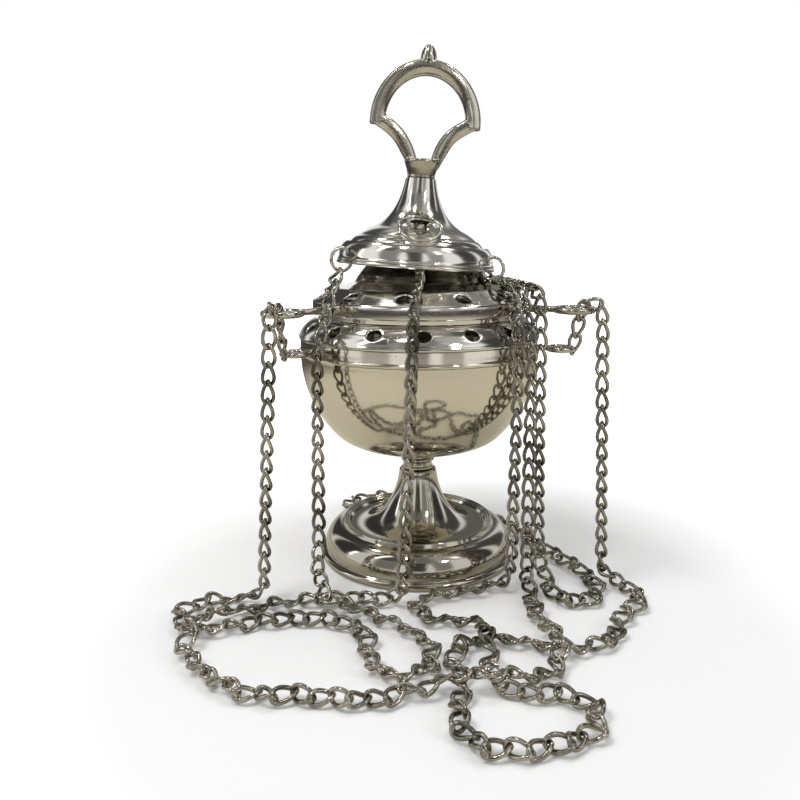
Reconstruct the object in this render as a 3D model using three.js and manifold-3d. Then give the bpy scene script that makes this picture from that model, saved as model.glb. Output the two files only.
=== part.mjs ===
// Standing censer in polished white metal: a footed bowl with a perforated lid, a leaning cap with a
// bow handle, and four slack curb chains. Millimetres, +Z up, standing on z = 0.
import * as THREE from 'three';
import { mergeVertices } from 'three/addons/utils/BufferGeometryUtils.js';
import Module from 'manifold-3d';

const wasm = await Module();
wasm.setup();

// General sizes
const gap = 0.3; // kept between pieces that seat on each other
const wall = 1.1; // spun sheet of the foot, bowl, lid and cap
const facets = 24; // flats round a large turned piece
const smallFacets = 12; // and round a small one
const loopAngles = { left: 210, right: 330, back: 90 }; // degrees round the bowl, 0 along +X

// Foot
const footRadius = 45;
const flangeHeight = 3.4;
const flangeWidth = 3.6; // flat ring that the censer rests on
const bulgeRadius = 43;
const bulgeHeight = 15.4;
const footRingRadius = 33.6;
const footRingHeight = 17.3;
const stemHeight = 41;
const stemRadius = 8.5;
const stemPlate = 2; // thick top of the stem, under the collar

// Collar between the foot and the bowl
const collarRadius = 6.8;
const collarBead = 7.6;
const collarHeight = 8.6;

// Tie bolt that draws the foot, the collar and the bowl together
const boltRadius = 2;
const boltHeadRadius = 5;
const boltHeadHeight = 2.6;
const boltNutHeight = 3.2;
const boltNutRadius = 4;
const boltWasherRadius = 5.6;
const boltWasherHeight = 0.9;
const boltTail = 4; // thread left below the nut

// Bowl
const bowlRadius = 52.3; // of the round side
const bowlDepth = 51.8; // from its flat bottom to its rim
const bowlFlat = 9; // radius of the flat bottom
const bowlTurnHeight = 8.2; // above the flat bottom, where the round side begins
const rimBandHeight = 4.6;
const rimBead = 0.9; // how far the bead stands out below the band
const rimBeadHeight = 2;

// Charcoal pan
const panInset = 10.3; // by which its rim is narrower than the bowl
const panDepth = 9;
const panFlare = 15; // by which its floor is narrower than its rim
const panWall = 0.8;

// Lid, lower tier
const skirtLip = 0.6; // how far the lid overhangs the rim band
const skirtHeight = 8.8;
const skirtTopRadius = 45.2;
const registerDepth = 4; // short wall that keeps the lid in the bowl
const registerWall = 1.2;
const skirtHoles = 16;
const skirtHoleRadius = 3;
const skirtHoleTurn = 15.7; // degrees from +X to the first hole

// Lid, upper tier and dome
const grooveRadius = 43.9;
const grooveHeight = 2;
const crownRadius = 46.6;
const crownBandHeight = 5;
const crownSlope = 6.4; // rise of the perforated slope
const domeRadius = 27.5;
const domeHeight = 14.2;
const crownHoles = 11;
const crownHoleRadius = 3.4;
const crownHoleTurn = 24;

// Finial on the dome, which the cap's shank rests on and the lid's chain is hooked through
const finialFlange = 6;
const finialStem = 2.6;
const finialEye = 4.4;
const finialEyeHeight = 9.2; // of the eye's middle above the dome
const finialHeight = 19.6;
const finialEyeHole = 2.1;
const finialEyeThick = 2.4;

// Loops cast in one with their arms
const lidLoopOut = 21.4; // from the crown's band to the middle of the ring
const lidLoopRadius = 7.2; // to the middle of the wire
const lidLoopWire = 1.5;
const lidArmWidth = 4.2;
const bowlLoopOut = 10.7;
const bowlLoopRadius = 5.1;
const bowlLoopWire = 1.25;
const bowlArmWidth = 3.6;

// Cap: a trumpet bell with a double bead round its mouth
const capMouthRadius = 34.5;
const capBeadHeight = 3.8;
const capHeight = 37;
const capNeckRadius = 6.5;
const capPlate = 1.5; // closed top of the bell
const capDrop = 27; // from the shank's end down to the mouth
const capLean = 3.6; // degrees, towards +X of the view from the front
const capTurn = -6; // degrees round the axis
const chainHoleHeight = 20; // of the oval hole in the bell's front
const chainHoleWidth = 9.4;
const chainHoleTall = 6.6;
const chainHoleReach = 14; // of the hole's middle from the axis
const chainHoleTilt = 28; // degrees that it faces upwards

// Handle casting
const shankRadius = 2.5;
const ferruleHeight = 6.4;
const ferruleRadius = 6.9;
const bowRadius = 21; // to the middle of the bar
const bowHeight = 22.4; // from the bell's top to the middle of the bow
const bowBar = 6; // bar seen from the front
const bowDepth = 6.6; // bar seen from the side
const armBar = 4.8;
const budRadius = 3.6;
const budHeight = 7;
const handleNutHeight = 3.4;
const handleNutRadius = 4.1;
const handleWasherRadius = 5;
const handleWasherHeight = 0.8;

// Rings
const capRingRadius = 4.7; // to the middle of the wire
const capRingWire = 0.75;
const capRingHoleHeight = 5; // of the drilled hole above the mouth
const capRingInset = 1.6; // of the hole's middle from the rim
const capRingHole = 1.5;
const capRingSwing = 45; // degrees that each ring stands out from hanging straight
const pullRingRadius = 8.7;
const pullRingWire = 0.55;
const pullRingTurns = 2;
const pullRingPitch = 1.55; // from one turn of its wire to the next
const pullRingReach = 24.2; // of its middle from the cap's axis
const pullRingHeight = 14.5; // above the mouth
const pullRingTilt = 36; // degrees, as it leans on the bell

// Curb chain
const linkPitch = 8.1;
const linkWidth = 5.8; // between the middles of its two sides
const linkWire = 0.8; // radius
const linkTwist = 45; // degrees that each end is turned out of the link's plane
const linkBite = 0.4; // how deep neighbouring links of one fused run reach into each other
const chainRadius = 2.8; // round solid that stands for the chain where it lies or is hidden
const chainSides = 8;
const chainFlat = 2.1; // its radius where it is squeezed flat between the dome and the cap
const chainStep = 15; // between the rings of that solid
const hangInside = 4.3; // from the lid loop's wire to the links that come up inside it
const hangOutside = 4.9; // and to the links that hang down outside
const hookTurn = 19; // degrees that the lowest link's width is turned from its loop's arm

// Materials
const metal = (name, color, roughness) => {
  const material = new THREE.MeshStandardMaterial({ color, roughness, metalness: 1 });
  material.name = name;
  return material;
};
const plate = metal('plate', 0xd8d3c8, 0.12);
const cast = metal('cast', 0xcfcabf, 0.22);
const steel = metal('steel', 0xa9a8a4, 0.35);
const chainMetal = metal('chain', 0xbdb8ad, 0.25);

// Solids
const rad = THREE.MathUtils.degToRad;

const welded = (geometry) => {
  const bare = geometry.clone();
  bare.deleteAttribute('normal');
  bare.deleteAttribute('uv');
  const merged = mergeVertices(bare, 1e-3);
  const faces = [];
  for (let i = 0; i < merged.index.count; i += 3) {
    const [a, b, c] = [0, 1, 2].map((k) => merged.index.getX(i + k));
    if (a !== b && b !== c && c !== a) faces.push(a, b, c);
  }
  merged.setIndex(faces);
  return merged;
};

const toManifold = (geometry) => {
  const merged = welded(geometry);
  return new wasm.Manifold(new wasm.Mesh({
    numProp: 3,
    vertProperties: new Float32Array(merged.attributes.position.array),
    triVerts: new Uint32Array(merged.index.array),
  }));
};

const toGeometry = (manifold) => {
  const mesh = manifold.getMesh();
  const geometry = new THREE.BufferGeometry();
  geometry.setAttribute('position', new THREE.BufferAttribute(mesh.vertProperties, 3));
  geometry.setIndex(new THREE.BufferAttribute(mesh.triVerts, 1));
  return geometry;
};

const join = (...parts) => {
  const solids = parts.map(toManifold);
  return toGeometry(solids.reduce((whole, part) => whole.add(part)));
};

const cut = (body, ...tools) => {
  const solids = tools.map(toManifold);
  return toGeometry(solids.reduce((rest, tool) => rest.subtract(tool), toManifold(body)));
};

// A body turned about the Z axis from a closed outline of [radius, height] points
const turned = (outline, sides = facets) => {
  const onAxis = outline[0][0] === 0 && outline.at(-1)[0] === 0;
  const closed = onAxis ? outline : [...outline, outline[0]];
  const points = closed.map(([r, z]) => new THREE.Vector2(r, z));
  return new THREE.LatheGeometry(points, sides).rotateX(Math.PI / 2);
};

const disc = (radius, bottom, top, hole = 0, sides = facets) => turned(
  hole
    ? [[hole, bottom], [radius, bottom], [radius, top], [hole, top]]
    : [[0, bottom], [radius, bottom], [radius, top], [0, top]],
  sides,
);

const arc = (centre, radii, from, to, steps) => Array.from({ length: steps + 1 }, (_, i) => {
  const a = rad(from + ((to - from) * i) / steps);
  return [centre[0] + radii[0] * Math.cos(a), centre[1] + radii[1] * Math.sin(a)];
});

// Points of a curve with one or two control points, without its first point
const bend = (points, steps) => {
  const flat = points.map(([r, z]) => new THREE.Vector2(r, z));
  const curve = flat.length === 4
    ? new THREE.CubicBezierCurve(...flat)
    : new THREE.QuadraticBezierCurve(...flat);
  return curve.getPoints(steps).slice(1).map((p) => [p.x, p.y]);
};

// The same line moved sideways, to its left for a positive distance
const beside = (line, distance) => line.map(([r, z], i) => {
  const before = line[Math.max(i - 1, 0)];
  const after = line[Math.min(i + 1, line.length - 1)];
  const [dr, dz] = [after[0] - before[0], after[1] - before[1]];
  const length = Math.hypot(dr, dz);
  return [r - (dz / length) * distance, z + (dr / length) * distance];
});

// A bar whose section of [across, up] points follows a line of 3-D points
const bar = (route, section, steps, tension = 0.5) => {
  const path = new THREE.CatmullRomCurve3(route, false, 'catmullrom', tension);
  const shape = new THREE.Shape(section.map(([x, y]) => new THREE.Vector2(x, y)));
  return new THREE.ExtrudeGeometry(shape, { steps, bevelEnabled: false, extrudePath: path });
};

const round = (radius, sides) => Array.from({ length: sides }, (_, i) => {
  const a = (2 * Math.PI * i) / sides;
  return [radius * Math.cos(a), radius * Math.sin(a)];
});

const drill = (radius, length, sides = 8) => new THREE.CylinderGeometry(radius, radius, length, sides);

const ringOf = (radius, wire, sides, steps) => new THREE.TorusGeometry(radius, wire, sides, steps);

const vec = (x, y, z) => new THREE.Vector3(x, y, z);

const polar = (radius, degrees, z) => {
  const a = rad(degrees);
  return vec(radius * Math.cos(a), radius * Math.sin(a), z);
};

// Holes drilled square to a turned slope, spaced evenly round the axis
const slopeHoles = (count, turn, radius, from, to) => {
  const middle = [(from[0] + to[0]) / 2, (from[1] + to[1]) / 2];
  const slope = Math.atan2(to[1] - from[1], from[0] - to[0]);
  return Array.from({ length: count }, (_, i) => drill(radius, 6 * wall)
    .rotateX(Math.PI / 2)
    .rotateY(slope)
    .translate(middle[0], 0, middle[1])
    .rotateZ(rad(turn + (360 * i) / count)));
};

// Places that follow from the sizes
const panRadius = bowlRadius - panInset;
const panFloorRadius = panRadius - panFlare;
const lidLoopReach = crownRadius + lidLoopOut; // from the axis to the middle of the ring
const bowlLoopReach = bowlRadius + bowlLoopOut;
const collarBottom = stemHeight + gap;
const bowlBottom = collarBottom + collarHeight + gap;
const bowlRim = bowlBottom + bowlDepth;
const bandBottom = bowlRim - rimBandHeight;
const skirtBottom = bowlRim + gap;
const skirtTop = skirtBottom + skirtHeight;
const crownBottom = skirtTop + gap;
const crownBand = crownBottom + grooveHeight;
const crownEdge = crownBand + crownBandHeight;
const domeBottom = crownEdge + crownSlope;
const domeTop = domeBottom + domeHeight;
const finialTop = domeTop + gap + finialHeight;
const capMouth = -capDrop; // in the cap's own frame, whose origin is at the shank's end

// The foot's bulge, its shallow dish and the trumpet of its stem, in more or fewer steps
const footSide = (bulgeSteps, stemSteps) => {
  const bulgeCentre = [footRingRadius + 0.4, flangeHeight + 2.4];
  const bulgeRadii = [bulgeRadius - bulgeCentre[0], bulgeHeight - bulgeCentre[1]];
  const dish = [footRingRadius - 2.1, footRingHeight - 2.2];
  return {
    bulge: arc(bulgeCentre, bulgeRadii, -12, 84, bulgeSteps),
    stem: [dish, ...bend([dish, [20, 12.6], [10.2, 24], [stemRadius, stemHeight]], stemSteps)],
  };
};

const foot = () => {
  const outer = footSide(4, 5);
  const inner = footSide(1, 3);
  const lining = beside([...inner.bulge, ...inner.stem], wall).slice(0, -1);
  const outside = [
    [footRadius - 0.9, 0],
    [footRadius, 0.9],
    [footRadius, flangeHeight - 0.9],
    [footRadius - 1, flangeHeight],
    ...outer.bulge,
    [footRingRadius + 0.6, footRingHeight - 0.6],
    [footRingRadius - 1.2, footRingHeight],
    ...outer.stem,
  ];
  return turned([
    ...outside,
    [boltRadius + gap, stemHeight],
    [boltRadius + gap, stemHeight - stemPlate],
    [stemRadius - wall - 0.4, stemHeight - stemPlate],
    ...lining.reverse(),
    [footRadius - flangeWidth, 0],
  ]);
};

const collar = () => turned([
  [boltRadius + gap, collarBottom],
  [collarRadius, collarBottom],
  [collarBead, collarBottom + collarHeight / 2 - 0.7],
  [collarBead, collarBottom + collarHeight / 2 + 0.7],
  [collarRadius, collarBottom + collarHeight],
  [boltRadius + gap, collarBottom + collarHeight],
], smallFacets);

// The bowl's side from its flat bottom up to the bead, as a line on its outer face
const bowlSide = (lowSteps, highSteps) => {
  const centre = bandBottom - rimBeadHeight;
  const turn = Math.asin((bowlBottom + bowlTurnHeight - centre) / bowlRadius);
  const side = arc([0, centre], [bowlRadius, bowlRadius], turn / rad(1), 0, highSteps);
  const start = [bowlFlat, bowlBottom];
  const knee = [side[0][0] - 7.4, bowlBottom + 1.6];
  return [start, ...bend([start, knee, side[0]], lowSteps), ...side.slice(1)];
};

const bowl = () => turned([
  [boltRadius + gap, bowlBottom],
  ...bowlSide(3, 4),
  [bowlRadius + rimBead, bandBottom - rimBeadHeight * 0.7],
  [bowlRadius + rimBead, bandBottom - rimBeadHeight * 0.3],
  [bowlRadius, bandBottom],
  [bowlRadius, bowlRim],
  [bowlRadius - wall, bowlRim],
  ...beside(bowlSide(2, 4), wall).reverse(),
  [boltRadius + gap, bowlBottom + wall],
]);

const tieWasherTop = stemHeight - stemPlate - gap;
const tieNutTop = tieWasherTop - boltWasherHeight - gap;

const tieBolt = () => {
  const seat = bowlBottom + wall + gap;
  const tail = tieNutTop - boltNutHeight - boltTail;
  return turned([
    [0, tail],
    [boltRadius, tail],
    [boltRadius, seat],
    [boltHeadRadius, seat],
    [boltHeadRadius, seat + boltHeadHeight * 0.4],
    [boltHeadRadius * 0.6, seat + boltHeadHeight],
    [0, seat + boltHeadHeight],
  ], smallFacets);
};

const hexNut = (radius, bottom, height, bore) => {
  const blank = new THREE.CylinderGeometry(radius, radius, height, 6)
    .rotateX(Math.PI / 2)
    .translate(0, 0, bottom + height / 2);
  const hole = drill(bore, height * 3, smallFacets).rotateX(Math.PI / 2).translate(0, 0, bottom);
  return cut(blank, hole);
};

// Height at which a disc of this radius meets the inside of the bowl
const bowlInsideAt = (radius) => {
  const inner = bowlRadius - wall;
  return bandBottom - rimBeadHeight - Math.sqrt(inner * inner - radius * radius);
};

const panRim = bowlInsideAt(panRadius) + gap * 2;
const panFloor = panRim - panDepth;

const pan = () => {
  const side = [[panFloorRadius, panFloor], ...bend(
    [[panFloorRadius, panFloor], [panRadius - 4, panFloor + 1], [panRadius - 0.6, panRim]],
    3,
  )];
  return turned([
    [0, panFloor],
    ...side,
    [panRadius, panRim + 0.6],
    [panRadius - 0.6, panRim + 1.2],
    ...beside(side, panWall).reverse(),
    [0, panFloor + panWall],
  ], 20);
};

const skirtShoulder = (steps) => {
  const start = [bowlRadius + skirtLip - 0.3, skirtBottom + 1.4];
  const end = [skirtTopRadius, skirtTop];
  return [start, ...bend([start, [start[0] - 1.7, skirtTop - 2.9], end], steps)];
};

const lidSkirt = () => {
  const shoulder = skirtShoulder(3);
  const register = bowlRadius - wall - gap;
  const lining = beside(skirtShoulder(2), wall).reverse();
  const inner = grooveRadius - 2.4;
  const shell = turned([
    [register, skirtBottom - registerDepth],
    [register, skirtBottom],
    [bowlRadius + skirtLip, skirtBottom],
    [bowlRadius + skirtLip, skirtBottom + 0.8],
    ...shoulder,
    [inner, skirtTop],
    [inner, skirtTop - wall],
    [lining[0][0], skirtTop - wall],
    ...lining.slice(1, -1),
    [register - registerWall, skirtBottom + 1.2],
    [register - registerWall, skirtBottom - registerDepth],
  ]);
  const tools = slopeHoles(skirtHoles, skirtHoleTurn, skirtHoleRadius, shoulder[1], shoulder[2]);
  return cut(shell, ...tools);
};

const lidCrown = () => {
  const slopeStart = [crownRadius - 0.5, crownEdge + 0.3];
  const slopeEnd = [domeRadius + 1.4, domeBottom - 0.2];
  const domeStart = [domeRadius, domeBottom + 0.4];
  const dome = (steps) => [domeStart, ...bend([
    domeStart,
    [domeRadius - 2, domeBottom + 8.4],
    [domeRadius - 11, domeTop],
    [finialStem + 3, domeTop],
  ], steps)];
  const inner = grooveRadius - 1.2;
  const shell = turned([
    [inner, crownBottom],
    [grooveRadius, crownBottom],
    [grooveRadius, crownBand - 0.3],
    [crownRadius - 0.4, crownBand],
    [crownRadius, crownBand + 0.4],
    [crownRadius, crownEdge - 0.3],
    slopeStart,
    slopeEnd,
    ...dome(4),
    [finialStem + gap, domeTop],
    [finialStem + gap, domeTop - wall],
    ...beside([slopeStart, slopeEnd, ...dome(2)], wall).slice(1, -1).reverse(),
    [crownRadius - wall, crownEdge - wall * 0.7],
    [crownRadius - wall, crownBand + wall],
    [inner, crownBand + wall],
  ]);
  return cut(shell, ...slopeHoles(crownHoles, crownHoleTurn, crownHoleRadius, slopeStart, slopeEnd));
};

const lidFinial = () => {
  const base = domeTop + gap;
  const eye = base + finialEyeHeight;
  const body = turned([
    [0, domeTop - wall - 1.6],
    [finialStem, domeTop - wall - 1.6],
    [finialStem, base],
    [finialFlange, base],
    [finialFlange, base + 1],
    [finialStem, base + 2.6],
    [finialStem, eye - finialEye],
    ...arc([0, eye], [finialEye, finialEye], -45, 60, 4),
    [1.9, eye + finialEye + 2.4],
    [1.5, finialTop],
    [0, finialTop],
  ], smallFacets);
  const cheek = (side) => new THREE.BoxGeometry(finialEye * 2, finialEye * 3, finialEye * 2.2)
    .translate(side * (finialEye + finialEyeThick / 2), 0, eye);
  const hole = drill(finialEyeHole, finialEye * 3).rotateZ(Math.PI / 2).translate(0, 0, eye);
  return cut(body, hole, cheek(1), cheek(-1));
};

// A flat ring with its arm, the arm's root a gap away from the band that carries it
const loop = (reach, radius, wire, armWidth, bandRadius, height) => {
  const ring = ringOf(radius, wire, 5, 12).translate(reach, 0, 0);
  const root = bandRadius + gap;
  const length = reach - radius - root + wire * 0.4;
  const arm = new THREE.CylinderGeometry(wire * 0.9, armWidth / 2, length, 6)
    .rotateZ(-Math.PI / 2)
    .translate(root + length / 2, 0, 0);
  return join(ring, arm).translate(0, 0, height);
};

const bell = () => {
  const m = capMouthRadius;
  const neck = (steps) => bend([
    [m - 16.2, 16.6],
    [11.2, 20.6],
    [8, 28],
    [capNeckRadius, capHeight],
  ], steps);
  const lining = beside([
    [m - 1, capBeadHeight],
    [m - 7, 10.6],
    [m - 16.2, 16.6],
    ...neck(3),
  ], wall).slice(0, -1);
  const shell = turned([
    [m - 0.6, 0],
    [m, 0.5],
    [m, 1.6],
    [m - 0.5, 2],
    [m, 2.5],
    [m - 1, capBeadHeight],
    [m - 4.2, 8],
    [m - 5.2, 8.4],
    [m - 7.8, 11.6],
    [m - 8.8, 12],
    [m - 14.8, 16.2],
    [m - 16.2, 16.6],
    ...neck(5),
    [shankRadius + gap, capHeight],
    [shankRadius + gap, capHeight - capPlate],
    [capNeckRadius - wall, capHeight - capPlate],
    ...lining.reverse(),
    [m - 0.6 - wall, 0],
  ]);
  const ringHoles = Object.values(loopAngles).map((angle) => drill(capRingHole, 6)
    .rotateZ(Math.PI / 2)
    .rotateY(rad(-capRingSwing))
    .translate(m - capRingInset, 0, capRingHoleHeight)
    .rotateZ(rad(angle)));
  const chainHole = drill(0.5, 12)
    .scale(chainHoleWidth, 1, chainHoleTall)
    .rotateX(rad(-chainHoleTilt))
    .translate(0, -chainHoleReach, chainHoleHeight);
  return cut(shell, ...ringHoles, chainHole);
};

// The bow, its two arms, the ferrule, the threaded shank and the bud, cast in one
const handle = () => {
  const top = capHeight - capDrop;
  const middle = top + bowHeight;
  const ridge = (across, deep) => [
    [across / 2, deep * 0.2],
    [0, deep / 2],
    [-across / 2, deep * 0.2],
    [-across / 2, -deep * 0.2],
    [0, -deep / 2],
    [across / 2, -deep * 0.2],
  ];
  const bow = Array.from({ length: 11 }, (_, i) => {
    const a = rad(-3 + (186 * i) / 10);
    return vec(bowRadius * Math.cos(a), 0, middle + bowRadius * Math.sin(a));
  });
  const arm = (side) => [
    vec(side * (ferruleRadius - 1.4), 0, top + ferruleHeight - 2),
    vec(side * (ferruleRadius + 1.2), 0, top + ferruleHeight + 4.2),
    vec(side * (ferruleRadius + 3.6), 0, top + ferruleHeight + 7.6),
    vec(side * (ferruleRadius + 6.9), 0, middle - 5),
    vec(side * (bowRadius - 2.6), 0, middle - 1.6),
    vec(side * (bowRadius + 1.2), 0, middle - 0.6),
  ];
  const ferrule = turned([
    [0, top + gap],
    [ferruleRadius - 0.6, top + gap],
    [ferruleRadius - 0.2, top + 2.4],
    [ferruleRadius + 0.9, top + ferruleHeight],
    [ferruleRadius - 1.6, top + ferruleHeight + 1.4],
    [0, top + ferruleHeight + 0.4],
  ], smallFacets);
  const shank = disc(shankRadius, 0, top + 2, 0, smallFacets);
  const budFoot = middle + bowRadius + bowBar / 2 - 1.4;
  const bud = turned([
    [0, budFoot],
    [budRadius - 0.4, budFoot + 0.2],
    [budRadius, budFoot + budHeight * 0.25],
    [budRadius - 0.5, budFoot + budHeight * 0.52],
    [budRadius - 1.6, budFoot + budHeight * 0.8],
    [0, budFoot + budHeight],
  ], 8);
  const section = ridge(bowDepth, bowBar);
  const armSection = ridge(bowDepth * 0.86, armBar);
  return join(
    bar(bow, section, 12),
    bar(arm(1), armSection, 5),
    bar(arm(-1), armSection, 5),
    ferrule,
    shank,
    bud,
  );
};

const handleWasherTop = capHeight - capDrop - capPlate - gap;
const handleNutTop = handleWasherTop - handleWasherHeight - gap;

const splitRing = () => {
  const steps = 12;
  const turns = Array.from({ length: pullRingTurns * steps + 1 }, (_, i) => {
    const a = (2 * Math.PI * i) / steps;
    return vec(pullRingRadius * Math.cos(a), pullRingRadius * Math.sin(a), (pullRingPitch * i) / steps);
  });
  return bar(turns, round(pullRingWire, 5), pullRingTurns * steps);
};

// One curb link standing along Z: a long loop of wire whose two ends are turned opposite ways. The wire
// has three sides, with an edge inwards, which keeps a long run of links light.
const link = (length) => {
  const half = length / 2;
  const shoulder = half - linkWidth * 0.4;
  const quarter = [[linkWidth / 2, shoulder], [linkWidth * 0.2, half]];
  const upper = [...quarter, ...quarter.map(([x, z]) => [-x, z]).reverse()];
  const middle = [...upper, ...upper.map(([x, z]) => [x, -z]).reverse()]
    .map(([x, z]) => vec(x, 0, z).applyAxisAngle(vec(0, 0, 1), rad((linkTwist * z) / half)));
  const count = middle.length;
  const corners = middle.flatMap((point, i) => {
    const along = middle[(i + count - 1) % count].clone().sub(middle[(i + 1) % count]).normalize();
    const out = vec(point.x, point.y, point.z * 0.6);
    out.addScaledVector(along, -out.dot(along)).normalize();
    return [180, 300, 60].map((a) => point.clone()
      .add(out.clone().applyAxisAngle(along, rad(a)).multiplyScalar(linkWire)));
  });
  const faces = middle.flatMap((_, i) => [0, 1, 2].flatMap((k) => {
    const next = ((i + 1) % count) * 3;
    const [a, b, c, d] = [i * 3 + k, i * 3 + ((k + 1) % 3), next + ((k + 1) % 3), next + k];
    return [a, c, b, a, d, c];
  }));
  const geometry = new THREE.BufferGeometry().setFromPoints(corners);
  geometry.setIndex(faces);
  return geometry;
};

// Links between successive hinge points; turns gives the way that each link's width points, as an
// azimuth or a direction, and its last entry holds for the rest
const linkRun = (hinges, turns) => join(...hinges.slice(1).map((end, i) => {
  const start = hinges[i];
  const along = end.clone().sub(start);
  const body = link(along.length() + 2 * linkWire - linkBite);
  along.normalize();
  const turn = turns[Math.min(i, turns.length - 1)];
  const across = Array.isArray(turn) ? vec(...turn) : polar(1, turn, 0);
  across.addScaledVector(along, -across.dot(along)).normalize();
  const placed = new THREE.Matrix4().makeBasis(across, along.clone().cross(across), along);
  placed.setPosition(start.clone().add(end).multiplyScalar(0.5));
  return body.applyMatrix4(placed);
}));

// Evenly spaced hinge points on a line through a few points
const hingesAlong = (points) => {
  const path = new THREE.CatmullRomCurve3(points.map(([x, y, z]) => vec(x, y, z)));
  return path.getSpacedPoints(Math.round(path.getLength() / linkPitch));
};

// The round solid of a chain along a route
const lying = (points, radius = chainRadius, step = chainStep) => {
  const route = points.map(([x, y, z]) => vec(x, y, z));
  const steps = Math.ceil(new THREE.CatmullRomCurve3(route).getLength() / step);
  return bar(route, round(radius, chainSides), steps);
};

// Each outer chain is hooked under its bowl loop, comes up through the lid's loop, passes over its wire
// and hangs down to the floor: the azimuth in which it passes over, and its foot on the floor
const hangs = {
  left: { over: 246, foot: [-69.3, -43.2] },
  right: { over: 328, foot: [71.6, -45.9] },
  back: { over: 30, foot: [9.8, 73.8] },
};
const hangFoot = 14.6; // height at which the hanging links meet the chain that lies on the floor

const hang = (side) => {
  const { over, foot } = hangs[side];
  const hook = bandBottom + rimBandHeight / 2 - bowlLoopWire - gap;
  const top = crownBand + crownBandHeight / 2 + lidLoopWire + gap + linkWire;
  const [bottom, ring] = [bowlLoopReach + bowlLoopRadius, lidLoopReach]
    .map((reach) => polar(reach, loopAngles[side], 0));
  const away = (distance, z) => ring.clone().add(polar(distance, over, 0)).setZ(z);
  const inside = away(lidLoopRadius - hangInside, top + 0.5);
  const outside = away(lidLoopRadius + hangOutside, top + 0.3);
  const start = bottom.setZ(hook - 0.5);
  const rise = [0, 1, 2].map((i) => start.clone().lerp(inside, i / 3));
  const fall = hingesAlong([outside.toArray(), [...foot, hangFoot]]);
  const hidden = side === 'back'; // behind the bowl, so only its first links are made
  const links = hidden ? fall.slice(0, 2) : fall;
  const first = loopAngles[side] + hookTurn;
  const last = over + (side === 'left' ? -90 : 90);
  const turns = [0, 1, 2, 3].map((i) => first + ((last - first) * i) / 3);
  const run = linkRun([...rise, inside, ...links], turns);
  return hidden ? join(run, lying([fall[1].toArray(), [...foot, hangFoot - 0.9]])) : run;
};

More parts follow.
